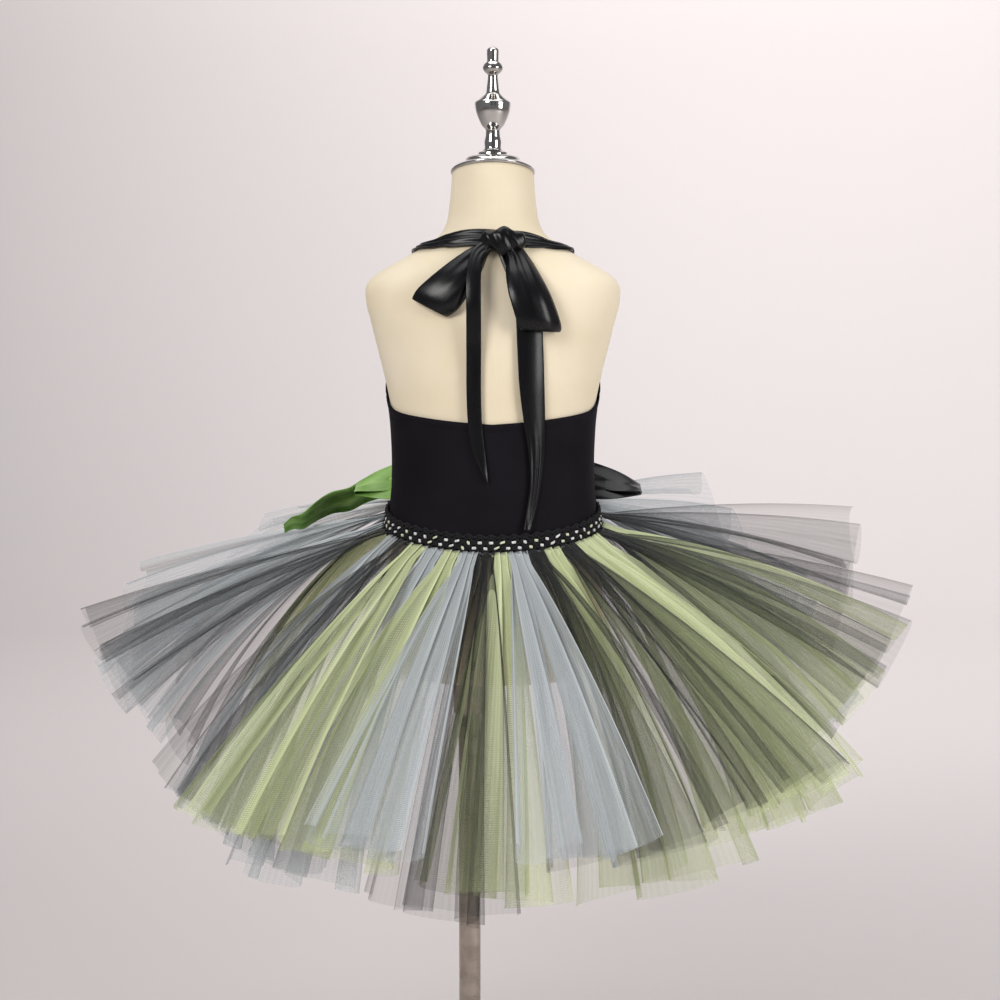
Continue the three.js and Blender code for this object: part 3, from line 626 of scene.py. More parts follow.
# %% Profiles of the pole, socket and base
POLE_X = -24
POLE = [(12.3, 11), (516.7, 11)]
SOCKET = [(484, 15.4), (484.6, 16), (517, 16), (517.7, 33.4), (519, 34), (524, 34), (524.7, 33)]
BASE = [
    (0, 139),
    (1, 140),
    (5, 140),
    (6.5, 138),
    (9, 122),
    (12, 105),
    (14, 70),
    (15, 40),
    (17, 24),
    (20, 19.5),
    (40, 19),
    (43, 18),
    (44, 16),
]


# %% The cap's slant, and the stand put together
def slant(piece, rows):
    """Tips each height of a level turned piece down towards the front by its row's slope."""
    table = np.asarray(rows, float)
    for vertex in piece.data.vertices:
        fall = float(eased(table[:, 0], table[:, 2], vertex.co.z / MM))
        vertex.co.z -= fall * (vertex.co.y - CAP_Y * MM)


def build_form():
    torso_form()
    cap = turned("cap", [row[:2] for row in NECK_CAP], 0, CAP_Y, CHROME, rim=0.3)
    slant(cap, NECK_CAP)
    stands_for(cap, "chrome", "neck_cap")
    finial = turned("finial_turned", between_rows(FINIAL, FINIAL_STEP), 0, CAP_Y, CHROME, rim=0)
    stands_for(finial, "chrome", "finial")
    stands_for(turned("pole", POLE, POLE_X, 0, STEEL), "stand_steel", "form_pole")
    stands_for(turned("socket", SOCKET, POLE_X, 0, STEEL), "stand_steel", "form_socket")
    stands_for(turned("base", BASE, POLE_X, 0, STEEL, sides=96), "stand_steel", "form_base")


build_form()
print("form: torso, cap, finial, pole, socket and base")

# %% [markdown]
# ## The bodice
# Two stretch panels meet at the side seams, and each has a turned hem along its top edge. The
# torso's faces could be copied and thickened, but their edge would follow the torso's rows. Here
# the rows run from the waist up to the top edge's own curve, so that the hem and its stitches
# follow the edge.

# %% Sizes of the waist and of the top edge
WAIST_Z = 683
WAIST_RISE = 18
BAND_HEIGHT = 20
BODICE_LIFT = 1.9
HEM_WIDTH = 7
# azimuth from a side seam (0) to the front (90) or back (-90), height of the top edge
BODICE_TOP = np.array(
    [
        (-90, 782),
        (-65, 784.5),
        (-42, 788),
        (-19, 793),
        (0, 808),
        (10, 821),
        (20, 842),
        (30, 870),
        (40, 896),
        (50, 892),
        (70, 886.5),
        (90, 885),
    ]
)
PANEL_COLUMNS = 96
SEAM_GAP = 0.003  # radians
WAIST_RADIUS = 98  # all round, for the flat cloth's own width


# %% Heights of the waist and of the top edge at an azimuth
def waist_z(azimuth):
    return WAIST_Z + WAIST_RISE * np.sin(azimuth)


def bodice_top(azimuth):
    side = np.degrees(np.arcsin(np.sin(azimuth)))
    return eased(BODICE_TOP[:, 0], BODICE_TOP[:, 1], side)


def near(place, middle, width):
    """1 at the middle, falling to 0 within a few widths of it."""
    return np.exp(-(((place - middle) / width) ** 2))


# %% A panel with its hem, seams and pull lines
def bodice_panel(name, start, rows, node):
    azimuth = start + np.linspace(SEAM_GAP, math.pi - SEAM_GAP, PANEL_COLUMNS + 1)[None, :]
    share = np.linspace(0, 1, rows + 1)[:, None]
    low, top = waist_z(azimuth) - BAND_HEIGHT / 2 + 2, bodice_top(azimuth)
    z = low + (top - low) * share
    below = top - z
    hem = smoothstep(HEM_WIDTH + 0.8, HEM_WIDTH - 0.8, below)
    stitch = near(below, HEM_WIDTH, 0.9)
    roll = np.clip(1 - below / 1.2, 0, 1) ** 2
    wrinkle = np.sin(z / 5.5 + 2.4 * np.sin(3 * azimuth))
    pull = 0.35 * wrinkle * smoothstep(40, 8, z - waist_z(azimuth) - 8)
    seams = near(azimuth, start, 0.02) + near(azimuth, start + math.pi, 0.02)
    lift = BODICE_LIFT + 0.55 * hem - 0.35 * stitch - 0.5 * roll + pull - 0.5 * seams
    uv = np.stack(np.broadcast_arrays((azimuth - start) * WAIST_RADIUS, z), axis=-1)
    panel = add_grid(name, off_torso(azimuth, z, lift), STRETCH, uv=uv)
    thicken(panel, 1.0)
    stands_for(panel, "stretch_black", node)


# %% Both panels, front and back
bodice_panel("bodice_front_panel", 0, 110, "bodice_front")
bodice_panel("bodice_back_panel", math.pi, 64, "bodice_back")
print("bodice: two panels")

# %% [markdown]
# ## The waistband
# The band is crocheted: cords that swing apart and meet form two rows of eyelets, set half a
# stitch apart, and a small loop of tulle shows in each. A bump on a plain band would leave its
# edges straight and its eyelets flat, so each cord is a tube swept along a wave round the waist.

# %% The cords and eyelets of the band
BAND_LIFT = 3.4
STITCHES = 55
# height over the band's middle, swing, phase in half turns, thickness
CORDS = [
    (8.6, 1.2, 0, 1.25),
    (5.4, 2.1, 0, 1.5),
    (0, 2.1, 1, 1.55),
    (-5.4, 2.1, 0, 1.5),
    (-8.4, 1.6, 1, 1.35),
]
CORD_STEPS = 12
CORD_SIDES = 6
# how high a cord lies on the lining, how much it weaves in and out, and how its plies show
CORD_LIFT = 1.6
CORD_WEAVE = 0.7
CORD_PLY = 0.12
# height over the band's middle, shift in stitches
EYELET_ROWS = [(2.7, 0.0), (-2.7, 0.5)]
EYELET_COLOURS = "GWW"


# %% Even places round the waist
def even_azimuths(count):
    """Azimuths at even distances round the waist, and the distance in whole turns."""
    fine = np.linspace(0, 2 * math.pi, 721)
    ring = torso_point(fine, waist_z(fine))
    length = np.concatenate([[0], np.cumsum(np.linalg.norm(np.diff(ring, axis=0), axis=1))])
    turn = np.arange(count) / count
    return np.interp(turn * length[-1], length, fine), turn


# %% One cord, swept along its wave
def crochet_cord(height, swing, phase, thickness):
    azimuth, turn = even_azimuths(STITCHES * CORD_STEPS)
    angle = 2 * math.pi * STITCHES * turn + math.pi * phase
    z = waist_z(azimuth) + height + swing * np.cos(angle)
    lift = BAND_LIFT + CORD_LIFT + CORD_WEAVE * np.cos(2 * angle)
    centre = off_torso(azimuth, z, lift)
    along = np.roll(centre, -1, axis=0) - np.roll(centre, 1, axis=0)
    along /= np.linalg.norm(along, axis=1, keepdims=True)
    out = off_torso(azimuth, z, lift + 1) - centre
    side = np.cross(along, out)
    side /= np.linalg.norm(side, axis=1, keepdims=True)
    out = np.cross(side, along)
    round_angle = np.linspace(0, 2 * math.pi, CORD_SIDES, endpoint=False)
    plies = 1 + CORD_PLY * np.cos(3 * angle[:, None] + 2 * round_angle[None, :])
    reach = thickness * plies[..., None]
    cosine, sine = (wave(round_angle)[None, :, None] for wave in (np.cos, np.sin))
    rings = centre[:, None] + reach * (cosine * side[:, None] + sine * out[:, None])
    return np.concatenate([rings, rings[:1]])


# %% The stretch lining, and the cords on it
LINING_COLUMNS = 180
LINING_HALF = 0.46  # share of the band's height


def crochet_band():
    azimuth = np.linspace(0, 2 * math.pi, LINING_COLUMNS, endpoint=False)[None, :]
    share = np.linspace(-LINING_HALF, LINING_HALF, 9)[:, None]
    uv = np.stack(np.broadcast_arrays(azimuth * WAIST_RADIUS, share * BAND_HEIGHT), axis=-1)
    points = off_torso(azimuth, waist_z(azimuth) + BAND_HEIGHT * share, BAND_LIFT + 0.4)
    band = add_grid("waistband_lining", points, CROCHET, ring=True, uv=uv)
    return stands_for(band, "crochet_black", "waistband")


def crochet_cords():
    points, faces, count = [], [], 0
    for cord in CORDS:
        rings = crochet_cord(*cord)
        points.append(rings.reshape(-1, 3))
        faces.append(grid_faces(*rings.shape[:2], True) + count)
        count += len(points[-1])
    cords = add_mesh("waistband_cords", np.concatenate(points), np.concatenate(faces), CROCHET)
    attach(cords, "root")
    return cords


# %% A ball with few faces, for the loops
BALL_RINGS = 4
BALL_SIDES = 8


def unit_ball():
    """Points and faces of a ball with flat ends."""
    levels = np.linspace(-1, 1, BALL_RINGS + 2)[1:-1]
    turns = np.linspace(0, 2 * math.pi, BALL_SIDES, endpoint=False)
    girth = np.sqrt(1 - levels**2)
    rings = [[g * math.cos(a), g * math.sin(a), h] for h, g in zip(levels, girth) for a in turns]
    faces = grid_faces(BALL_RINGS, BALL_SIDES, True).tolist()
    end = list(range(BALL_SIDES))
    faces += [end[::-1], [len(rings) - BALL_SIDES + i for i in end]]
    return np.array(rings), faces


# %% Loops of tulle in the eyelets
LOOP_LIFT = 2.2
LOOP_HALF = (2.3, 1.3, 2.1)  # along the waist, outwards and upwards


def eyelet_loops(name, colour):
    """The loops of one tulle colour that show through the band's eyelets."""
    slot, material = TULLE_LOOPS[colour]
    ball, ball_faces = unit_ball()
    wide, deep, high = LOOP_HALF
    points, faces = [], []
    for row, (height, shift) in enumerate(EYELET_ROWS):
        azimuth, turn = even_azimuths(STITCHES * 2)
        for stitch in range(STITCHES):
            place = (2 * stitch + round(2 * shift)) % (2 * STITCHES)
            if EYELET_COLOURS[(stitch + row) % len(EYELET_COLOURS)] != colour:
                continue
            a = azimuth[place]
            loose = math.sin(2.3 * stitch + 1.9 * row) * math.sin(1.1 * stitch + row)
            lift = BAND_LIFT + LOOP_LIFT + 0.5 * loose
            centre = off_torso(a, waist_z(a) + height + 0.7 * loose, lift)
            along = np.array([-math.sin(a), math.cos(a), 0.5 * loose])
            out = np.array([math.cos(a), math.sin(a), 0])
            up = np.array([0, 0, high - 0.6 * loose])
            axes = np.stack([along * (wide + 0.7 * loose), out * deep, up])
            faces += [[i + len(points) * len(ball) for i in face] for face in ball_faces]
            points.append(centre + ball @ axes)
    loops = add_mesh(name, np.concatenate(points), faces, material)
    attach(loops, "root")
    return loops


def loop_finish(name, dark, light):
    """Bunched tulle, which is too dense to see through."""
    finish = Finish(name, roughness=0.8, sheen_weight=0.2)
    tone = finish.noise(finish.place(), 800.0, 3.0)
    finish.set("Base Color", tone.within(0.3, 0.7).between(dark, light))
    finish.bump(tone, 0.0004, 0.7)
    return finish.material


# %% The band put together
TULLE_LOOPS = {
    "G": ("tulle_lime", loop_finish("eyelet_lime", (0.48, 0.50, 0.34), (0.84, 0.86, 0.66))),
    "W": ("tulle_white", loop_finish("eyelet_white", (0.46, 0.46, 0.46), (0.92, 0.92, 0.90))),
}
band = crochet_band()
cords = crochet_cords()
loops = [eyelet_loops("eyelets_lime", "G"), eyelet_loops("eyelets_white", "W")]
print("waistband:", STITCHES, "stitches in two rows")

# %% [markdown]
# ## The tulle skirt
# Each strip is one sheet folded in half at the waistband, and its two leaves fan out from one
# root. A cloth simulation could drop them, but 36 strips of two leaves would take hours and fall
# anew each time. Here a strip bends down along an arc, and as its whole width is there at every
# height, it lies in pleats that lean over each other where it is narrow.

# %% Sizes and colours of the strips
STRIP_COUNT = 36
STRIP_PITCH = 10
# bend, then hem half width, droop and length each 45 degrees from the back
STRIP_TIERS = [
    (30, (71, 71, 71, 71, 71), (62, 56, 46, 44, 55), (342, 344, 326, 322, 328)),
    (12, (56, 62, 76, 82, 82), (42, 35, 17, 14, 27), (344, 334, 302, 302, 318)),
    (22, (74, 74, 74, 74, 74), (51, 45, 31, 28, 42), (342, 334, 308, 310, 322)),
]
STRIP_TWIST = (0, 14, 52, 40, 0)
TURN_STEP = 45
STRIP_COLOURS = "GWKGKGGKGWKWKWKGWKGWKGWGKWKWKWKGWGWK"
STRIP_CUT = 150
LEAF_ROOT_HALF = 9
FAN = 0.86
ROOT_LENGTH = 22
ROOT_LIFT = 6.9
ROOT_BELOW_WAIST = 6
WAVE_HEIGHT = 7
WAVES = 2
# lengthwise folds in a leaf, how far each leans over its neighbour, and how high it stands
FOLDS = 2.4
FOLD_LEAN = 0.5
FOLD_HEIGHT = 6
LEAF_COLUMNS = 50
LEAF_ROWS = 26
ROW_SPACING = 1.35  # over 1, rows lie closer near the root
THREAD_STEP = 331  # between two strips' places in the pattern of threads
# the least and most layers of net, and how the turned edges thicken it
FULLNESS = (0.6, 9)
EDGE_CELL = 0.35
SMALLEST_CELL = 0.4  # share of the mean cell in its row

# %% The two leaves of a strip, and the strips that stray
# share of the strip's width, slide in half widths, extra droop, length ratio, phase, skew
LEAVES = [(0.78, 0.23, -1.0, 1.0, 0.0, 0.02), (0.76, -0.25, 2.6, 0.97, 2.1, -0.03)]
# how far the leaves spread, each 45 degrees from the back
LEAF_SPREAD = (1.0, 1.5, 1.2, 1.2, 1.0)
# strip: how far its hem hangs to one side, extra droop in degrees, length ratio
STRAYS = {
    1: (-26, 0, 1),
    2: (-7, 0, 1),
    26: (0, 7, 1.07),
    30: (17, 0, 1),
    31: (3, 0, 1),
    32: (18, 5, 1.05),
    33: (-29, 0, 1),
    34: (-24, 0, 1),
    35: (-27, 0, 1),
    36: (-25, -8, 1.04),
}


# %% How each strip hangs
def at_turn(values, turn):
    """A value at a turn from the back, eased between the values of its list."""
    i = min(int(turn / TURN_STEP), len(values) - 2)
    t = float(smoothstep(0, 1, turn / TURN_STEP - i))
    return values[i] + (values[i + 1] - values[i]) * t


def strip_hang(index):
    """What sets one strip's hang, in radians and millimetres."""
    on_right = index < STRIP_COUNT // 2
    outward = index if on_right else STRIP_COUNT - 1 - index
    bend, hem_half, droop, length = STRIP_TIERS[outward % 3]
    from_back = (outward + 0.5) * STRIP_PITCH
    at_middle = outward in (0, STRIP_COUNT // 2 - 1)
    nudge = 4 * (-1 if on_right else 1) if at_middle else math.sin(1.7 * index + 1)
    shift, lower, longer = STRAYS.get(index + 1, (0, 0, 1))
    return {
        "side": 1 if on_right else -1,
        "hem_half": at_turn(hem_half, from_back),
        "spread": at_turn(LEAF_SPREAD, from_back),
        "shift": shift,
        "azimuth": math.radians((index + 0.5) * STRIP_PITCH - 90),
        "droop": math.radians(at_turn(droop, from_back) + nudge + lower),
        "bend": math.radians(bend),
        "twist": math.radians(at_turn(STRIP_TWIST, from_back)),
        "length": at_turn(length, from_back) * longer * (1 + 0.015 * math.sin(2.4 * index)),
        "phase": 1.3 * index,
    }


# %% The arc of a strip, its fan and its twist
def waist_radius(azimuth):
    wide, deep, _, squareness, _ = section(waist_z(azimuth) - ROOT_BELOW_WAIST)
    return radius_at(wide, deep, squareness, azimuth) + ROOT_LIFT


def leaf_half(hang, widened):
    """Half width of a leaf. It fans out fastest just under its tied root."""
    return LEAF_ROOT_HALF + (hang["hem_half"] - LEAF_ROOT_HALF) * widened**FAN


def strip_surface(hang, place, station, height, slide):
    """Points of a strip. place is -1 to 1 across it and station 0 to 1 down it; height stands
    off it and slide moves it sideways, in millimetres."""
    arc = hang["length"] / hang["bend"]
    start = hang["droop"] - hang["bend"] / 2
    angle = start + hang["bend"] * station
    out = arc * (np.sin(angle) - math.sin(start))
    down = arc * (math.cos(start) - np.cos(angle))
    root = ROOT_LENGTH / hang["length"]
    widened = np.maximum(station - root, 0) / (1 - root)
    half = leaf_half(hang, widened)
    twist = -hang["side"] * hang["twist"] * np.sqrt(widened)
    across = place * half + slide * widened
    sideways = across * np.cos(twist) + height * np.sin(twist)
    lifted = height * np.cos(twist) - across * np.sin(twist)
    reach = waist_radius(hang["azimuth"]) + out
    azimuth = hang["azimuth"] + np.arctan(sideways / reach)
    radius = waist_radius(azimuth) + out + lifted * np.sin(angle)
    centre = section(WAIST_Z)[2]
    z = waist_z(azimuth) - ROOT_BELOW_WAIST - down + lifted * np.cos(angle)
    return np.stack([radius * np.cos(azimuth), centre + radius * np.sin(azimuth), z], axis=-1)


# %% How much more cloth than mesh there is
def cloth_fullness(points):
    """The flat width of a cell of cloth, divided by the width that it has on the leaf."""
    cells = np.linalg.norm(np.diff(points, axis=1), axis=2)
    inner = (cells[:, 1:] + cells[:, :-1]) / 2
    cells = np.concatenate([cells[:, :1], inner, cells[:, -1:]], axis=1)
    cells = np.maximum(cells, SMALLEST_CELL * cells.mean(axis=1, keepdims=True))
    cells[:, [0, -1]] *= EDGE_CELL
    return np.clip(STRIP_CUT / LEAF_COLUMNS / cells, *FULLNESS)


# %% A leaf in leaning pleats
def strip_leaf(hang, leaf):
    """The points of one leaf, and its fullness."""
    width, slide, droop, ratio, phase, skew = leaf
    slide = slide * hang["hem_half"] * hang["spread"] + hang["shift"]
    changed = {"droop": hang["droop"] + math.radians(droop), "length": hang["length"] * ratio}
    hang = {**hang, **changed, "hem_half": hang["hem_half"] * width}
    phase = phase + hang["phase"]
    place = np.linspace(-1, 1, LEAF_COLUMNS + 1)[None, :]
    station = (np.linspace(0, 1, LEAF_ROWS + 1) ** ROW_SPACING)[:, None]
    flutter = 1 + skew * math.cos(phase) * place + 0.014 * np.sin(4 * place + phase)
    station, place = station * flutter, place + 0 * station
    widened = np.maximum(station - ROOT_LENGTH / hang["length"], 0)
    drift = 0.5 * np.sin(2.3 * place + phase) + 0.5 * station * np.sin(3.1 * place + 2 * phase)
    angle = math.pi * FOLDS * (1.04 + 0.12 * math.sin(2.9 * phase)) * place + phase + drift
    lean = FOLD_LEAN * (1 - place**4) * (0.95 + 0.15 * station * np.sin(4.1 * place + 0.6 * phase))
    doubled = place + lean * np.sin(angle)
    wave = WAVE_HEIGHT * widened * np.sin(math.pi * WAVES * (place + 1) + hang["phase"])
    height = wave + (1.2 + FOLD_HEIGHT * widened) * np.sin(angle)
    points = strip_surface(hang, doubled, station, height, slide)
    return points, cloth_fullness(points)


# %% A whole strip: one sheet, folded at its root
def tulle_strip(index):
    hang = strip_hang(index)
    (outer, outer_full), (inner, inner_full) = (strip_leaf(hang, leaf) for leaf in LEAVES)
    points = np.concatenate([outer[::-1], inner[1:]])
    fullness = np.concatenate([outer_full[::-1], inner_full[1:]])
    across = np.linspace(0, STRIP_CUT, LEAF_COLUMNS + 1) + THREAD_STEP * index
    down = np.linspace(0, 1, LEAF_ROWS + 1) ** ROW_SPACING * hang["length"]
    along = np.concatenate([-down[::-1], down[1:]])
    uv = np.stack(np.meshgrid(across, along), axis=-1)
    slot, material = TULLE[STRIP_COLOURS[index]]
    name = f"{index + 1:02d}"
    strip = add_grid("strip_" + name, points, material, uv=uv)
    layer = strip.data.attributes.new("fullness", "FLOAT", "POINT")
    layer.data.foreach_set("value", fullness.astype(np.float32).ravel())
    stands_for(strip, slot, "tulle_strip_" + name)
    flat = (STRIP_CUT * MM, round(2 * hang["length"] * MM, 2))
    return strip


strips = [tulle_strip(index) for index in range(STRIP_COUNT)]
print("skirt:", len(strips), "folded strips of tulle")

# %% [markdown]
# ## Satin ribbon
# One wide ribbon ties the halter in a bow at the nape, and two more make the bow at the front.
# A curve with a bevel would give a ribbon of one width, but a tied one narrows and pleats at its
# knot. So each is a grid of points: rows along it say where its middle runs, how wide it lies and
# how deep its pleats are.

# %% A ribbon's place when flat, and its thickness and finish
RIBBON = 38
RIBBON_COLUMNS = 24
RIBBON_STEPS = 72
SATIN_THICKNESS = 0.35


def ribbon_uv(rows, columns, length):
    across = np.linspace(0, RIBBON, columns)
    along = np.linspace(0, length, rows)
    return np.stack(np.meshgrid(across, along), axis=-1)


def add_ribbon(name, points, satin, node, flat):
    """satin is the CAD's slot and the material. flat is the cut, in metres."""
    slot, material = satin
    uv = ribbon_uv(*points.shape[:2], flat[1] / MM)
    ribbon = add_grid(name, points, material, uv=uv)
    thicken(ribbon, SATIN_THICKNESS)
    stands_for(ribbon, slot, node)


BLACK = ("satin_black", BLACK_SATIN)
GREEN = ("satin_green", GREEN_SATIN)

# %% [markdown]
# ## Halter straps
# Each strap is the ribbon, folded once lengthwise and drawn up from a front corner over the
# shoulder. A shrinkwrap would press it onto the torso and flatten its pleats too. So a line of
# places is settled on the skin first, and the folded ribbon is then settled at a height of its
# own for each layer and pleat.

# %% Rows along a strap
# x, y, z, half width of the right strap
STRAP = [
    (69, 59, 896.6, 9),
    (69, 55, 912, 7),
    (71, 38, 932, 6),
    (74, 14, 947, 5.5),
    (71, -6, 949, 5.5),
    (60, -24, 954, 6.5),
    (48, -33, 958.5, 8),
    (37, -39, 960, 9.2),
]
# where the straps enter the knot: y, z, half width, and x of the left and right one
STRAP_END = (-46, 960, 8.5)
STRAP_END_X = {-1: 2, 1: 14}
STRAP_LENGTH = 190
# heights: its middle line and its top layer off the skin, then a layer's step and a pleat's
STRAP_LINE = 1.1
STRAP_LIFT = 3.4
STRAP_LAYER = 0.8
STRAP_PLEAT = 0.7


# %% A halter strap, pleated on the skin
def folded(place, layers):
    """Where a ribbon folded lengthwise lies: -1 to 1 across, and its layer's height."""
    turn = (place + 1) / 2 * layers
    across = 1 - 2 * np.abs((turn + 1) % 2 - 1)
    return -across, -turn


def strap(side):
    """The ribbon from a front corner to the nape. side is -1 for the left one."""
    rows = [(side * x, y, z, half) for x, y, z, half in STRAP]
    rows = resample([*rows, (STRAP_END_X[side], *STRAP_END)], RIBBON_STEPS)
    middle = settle(rows[:, :3], STRAP_LINE)
    along = np.gradient(middle, axis=0)
    across = np.cross(along, skin_gradient(middle))
    across /= np.linalg.norm(across, axis=1, keepdims=True)
    place, layer = folded(np.linspace(-1, 1, 2 * RIBBON_COLUMNS + 1)[None, :], 2)
    points = middle[:, None] + across[:, None] * (place * rows[:, 3:4])[..., None]
    share = np.linspace(0, 1, len(rows))[:, None]
    pleats = np.sin(math.pi * 2.2 * place + 1.5 * np.sin(4 * share + side))
    pleats = STRAP_PLEAT * pleats * smoothstep(0.0, 0.3, share)
    points = settle(points, STRAP_LIFT + STRAP_LAYER * layer + pleats)
    name = "left" if side < 0 else "right"
    flat, node = (RIBBON * MM, STRAP_LENGTH * MM), "halter_strap_" + name
    add_ribbon("strap_" + name, points, BLACK, node, flat)


# %% [markdown]
# ## The nape bow
# Its two loops stand off the back, and its two tails, folded lengthwise, hang down it. A cloth
# simulation would tie it another way each time. Here a row says how far off the back the ribbon
# is, how wide it lies there and how its width is turned.

# %% Rows along its loops
# x, z, lift, half width, angle of the width, pleat depth
LEFT_LOOP = [
    (0, 957, 9, 5, 70, 1.2),
    (-6.8, 950, 9, 6.5, 62, 1.2),
    (-19, 937, 14, 12.5, 48, 0.7),
    (-36, 919, 16, 18, 35, 0.2),
    (-51, 903, 13.5, 21.3, 28, 0),
    (-58, 895.5, 10, 20, 27, 0),
    (-60.5, 893, 7.5, 18, 27, 0),
    (-56, 898, 4.8, 20, 27, 0),
    (-39, 915, 4, 16, 32, 0.2),
    (-20, 935, 4, 10, 44, 0.6),
    (-2, 955, 4, 5, 65, 0.8),
]
RIGHT_LOOP = [
    (16, 955, 11, 7, -20, 1.2),
    (22.5, 943, 12, 10, -12, 1.0),
    (28, 927, 18, 15.5, -3, 0.6),
    (35, 907, 21, 20, 3, 0.2),
    (42, 886, 19.5, 21.3, 5, 0),
    (45, 875, 16, 20.5, 4, 0),
    (45.5, 871.5, 12.5, 18, 4, 0),
    (44, 879, 9.2, 19.5, 5, 0),
    (37, 901, 8.6, 17, 4, 0.2),
    (28, 925, 8.6, 12, 0, 0.6),
    (18, 952, 7, 7, -15, 0.8),
]

# %% Rows along its tails
LEFT_TAIL = [
    (2, 957, 11, 5.5, 66, 0.3),
    (-6, 952, 14, 6, 60, 0.3),
    (-15, 943, 19, 6.6, 30, 0.2),
    (-18, 925, 21, 6.9, 5, 0),
    (-18, 900, 19, 7, 0, 0),
    (-18, 875, 12, 7, 0, 0),
    (-18, 845, 7, 7, 0, 0),
    (-18, 810, 6, 6.9, 0, 0),
    (-16.5, 778, 6, 6.7, 6, 0),
    (-12, 750, 6, 6, 22, 0),
    (-4.5, 726, 6, 1.2, 40, 0),
]
RIGHT_TAIL = [
    (12, 953, 6, 8, 0, 0.3),
    (16, 940, 3.5, 9, 0, 0.3),
    (27, 918, 3.6, 11.5, 0, 0.2),
    (34, 888, 3.8, 12.4, 0, 0),
    (36, 855, 4.6, 12.6, 0, 0),
    (37.5, 820, 5.6, 12.2, 0, 0),
    (40, 785, 6, 10.5, 4, 0),
    (42, 755, 6, 8, 8, 0.3),
    (41, 725, 6, 5.6, 8, 0.5),
    (37.5, 700, 6.5, 4.8, 8, 0.4),
    (33.5, 680, 8.5, 3.6, 8, 0),
]


# %% A ribbon of the nape bow
def back_ribbon(table, cup, layers, curl):
    """A ribbon of the nape bow. cup is how far its middle stands up, and curl how far its
    right edge rolls back towards the form."""
    rows = resample(table, RIBBON_STEPS)
    x, z, lift, half, angle, pleat = rows.T[:, :, None]
    angle = np.radians(angle)
    place = np.linspace(-1, 1, int(RIBBON_COLUMNS * max(layers, 1)) + 1)[None, :]
    across, layer = folded(place, layers) if layers > 1 else (place, 0 * place)
    pleats = pleat * np.cos(math.pi * 3 * across + 0.02 * np.arange(len(rows))[:, None])
    rolled = curl * np.maximum(across - 0.35, 0) ** 2 * np.minimum(half / 12, 1)
    off = lift + cup * (1 - across**2) + 0.7 * layer + pleats - rolled
    return off_back(x + across * half * np.cos(angle), z - across * half * np.sin(angle), off)


# %% [markdown]
# ## The front bow
# Two loops and a tail stand out to the sides over the skirt and touch only their knot, so their
# rows are places in the open. Each loop could have its own table, but they are cut alike: one
# table serves both, and `side` mirrors it.

# %% Rows along the front bow
# x, y, z, half width along y, half width along z, pleat depth
FRONT_LOOP = [
    (12.8, 98, 719, 1, 8, 1.8),
    (45, 108, 722, 4, 19, 2.0),
    (90, 110, 715, 8, 16, 2.2),
    (128, 105, 708, 12, 10, 1.6),
    (152, 98, 702, 14, 3, 0.6),
    (154, 97, 699.5, 14, 3, 0.4),
    (150, 97, 697.5, 13.5, 3, 0.6),
    (120, 98, 700, 10, 10, 1.2),
    (82, 99, 707, 5, 16, 1.8),
    (44, 98, 713, 2, 15, 1.8),
    (12.8, 94.5, 713, 0, 8, 1.2),
]
FRONT_TAIL = [
    (-10, 107, 706, 3, -8, 1.0),
    (-35, 118, 697, 10, -8, 1.4),
    (-75, 123, 696, 12, -8, 2.0),
    (-105, 125, 701, 10, -13, 3.0),
    (-132, 124, 697, 9, -15, 3.4),
    (-152, 117, 687, 9, -14, 3.2),
    (-170, 101, 685, 8, -12, 3.0),
    (-184, 80, 679, 7, -10, 2.6),
    (-196, 60, 671, 6, -9, 2.6),
    (-206, 50, 670, 6, -8, 2.0),
    (-214, 44, 665, 6, -6, 1.2),
]
FRONT_KNOT_HALF = 12


# %% A ribbon of the front bow
def front_ribbon(table, side, reach):
    """side mirrors it, and reach scales its length beyond the knot."""
    rows = resample(table, RIBBON_STEPS)
    x, y, z, across_y, across_z, pleat = rows.T[:, :, None]
    knot_x = np.sign(x) * FRONT_KNOT_HALF
    x = knot_x + reach * (x - knot_x)
    place = np.linspace(-1, 1, RIBBON_COLUMNS + 1)[None, :]
    crumple = 0.06 * np.arange(len(rows))[:, None]
    pleats = pleat * np.cos(math.pi * 2.2 * place + crumple + 1.2 * np.sin(1.7 * crumple + place))
    x = side * x + 0 * place
    y = y + place * across_y + pleats * 0.6
    z = z + place * across_z + pleats * 0.5
    return np.stack([x, y, z], axis=-1)


# %% [markdown]
# ## Knots
# A knot is ribbon drawn tight round the rest of its bow. It could be a ring of folded ribbon, but
# only its front shows. So a low ball is squared off, and slanting pleats cross it.


# %% A knot
def knot(name, centre, size, folds, satin, node):
    """A tied band of ribbon: a low lump, pleated over its front, with a wavy upper edge."""
    slot, material = satin
    level = np.sin(np.linspace(-math.pi / 2, math.pi / 2, 49))[1:-1, None]
    angle = np.linspace(0, 2 * math.pi, 96, endpoint=False)[None, :]
    girth = (1 - level**2) ** 0.38
    x = size[0] * girth * np.sign(np.cos(angle)) * np.abs(np.cos(angle)) ** 0.8
    z = size[2] * level + 0 * angle
    pleats = np.cos(2 * math.pi * (x + 0.55 * z) / folds)
    pleats = pleats + 0.5 * np.cos(2 * math.pi * (x - 0.4 * z) / (1.7 * folds))
    y = size[1] * girth * np.sin(angle) * (1 + 0.1 * pleats)
    z = z + 1.9 * level * np.cos(2 * math.pi * (x - 1) / (0.95 * size[0]))
    points = centre + np.stack([x, y, z], axis=-1)
    uv = np.stack(np.broadcast_arrays(angle * size[0], z), axis=-1)
    lump = add_grid(name, points, material, ring=True, uv=uv)
    stands_for(lump, slot, node)


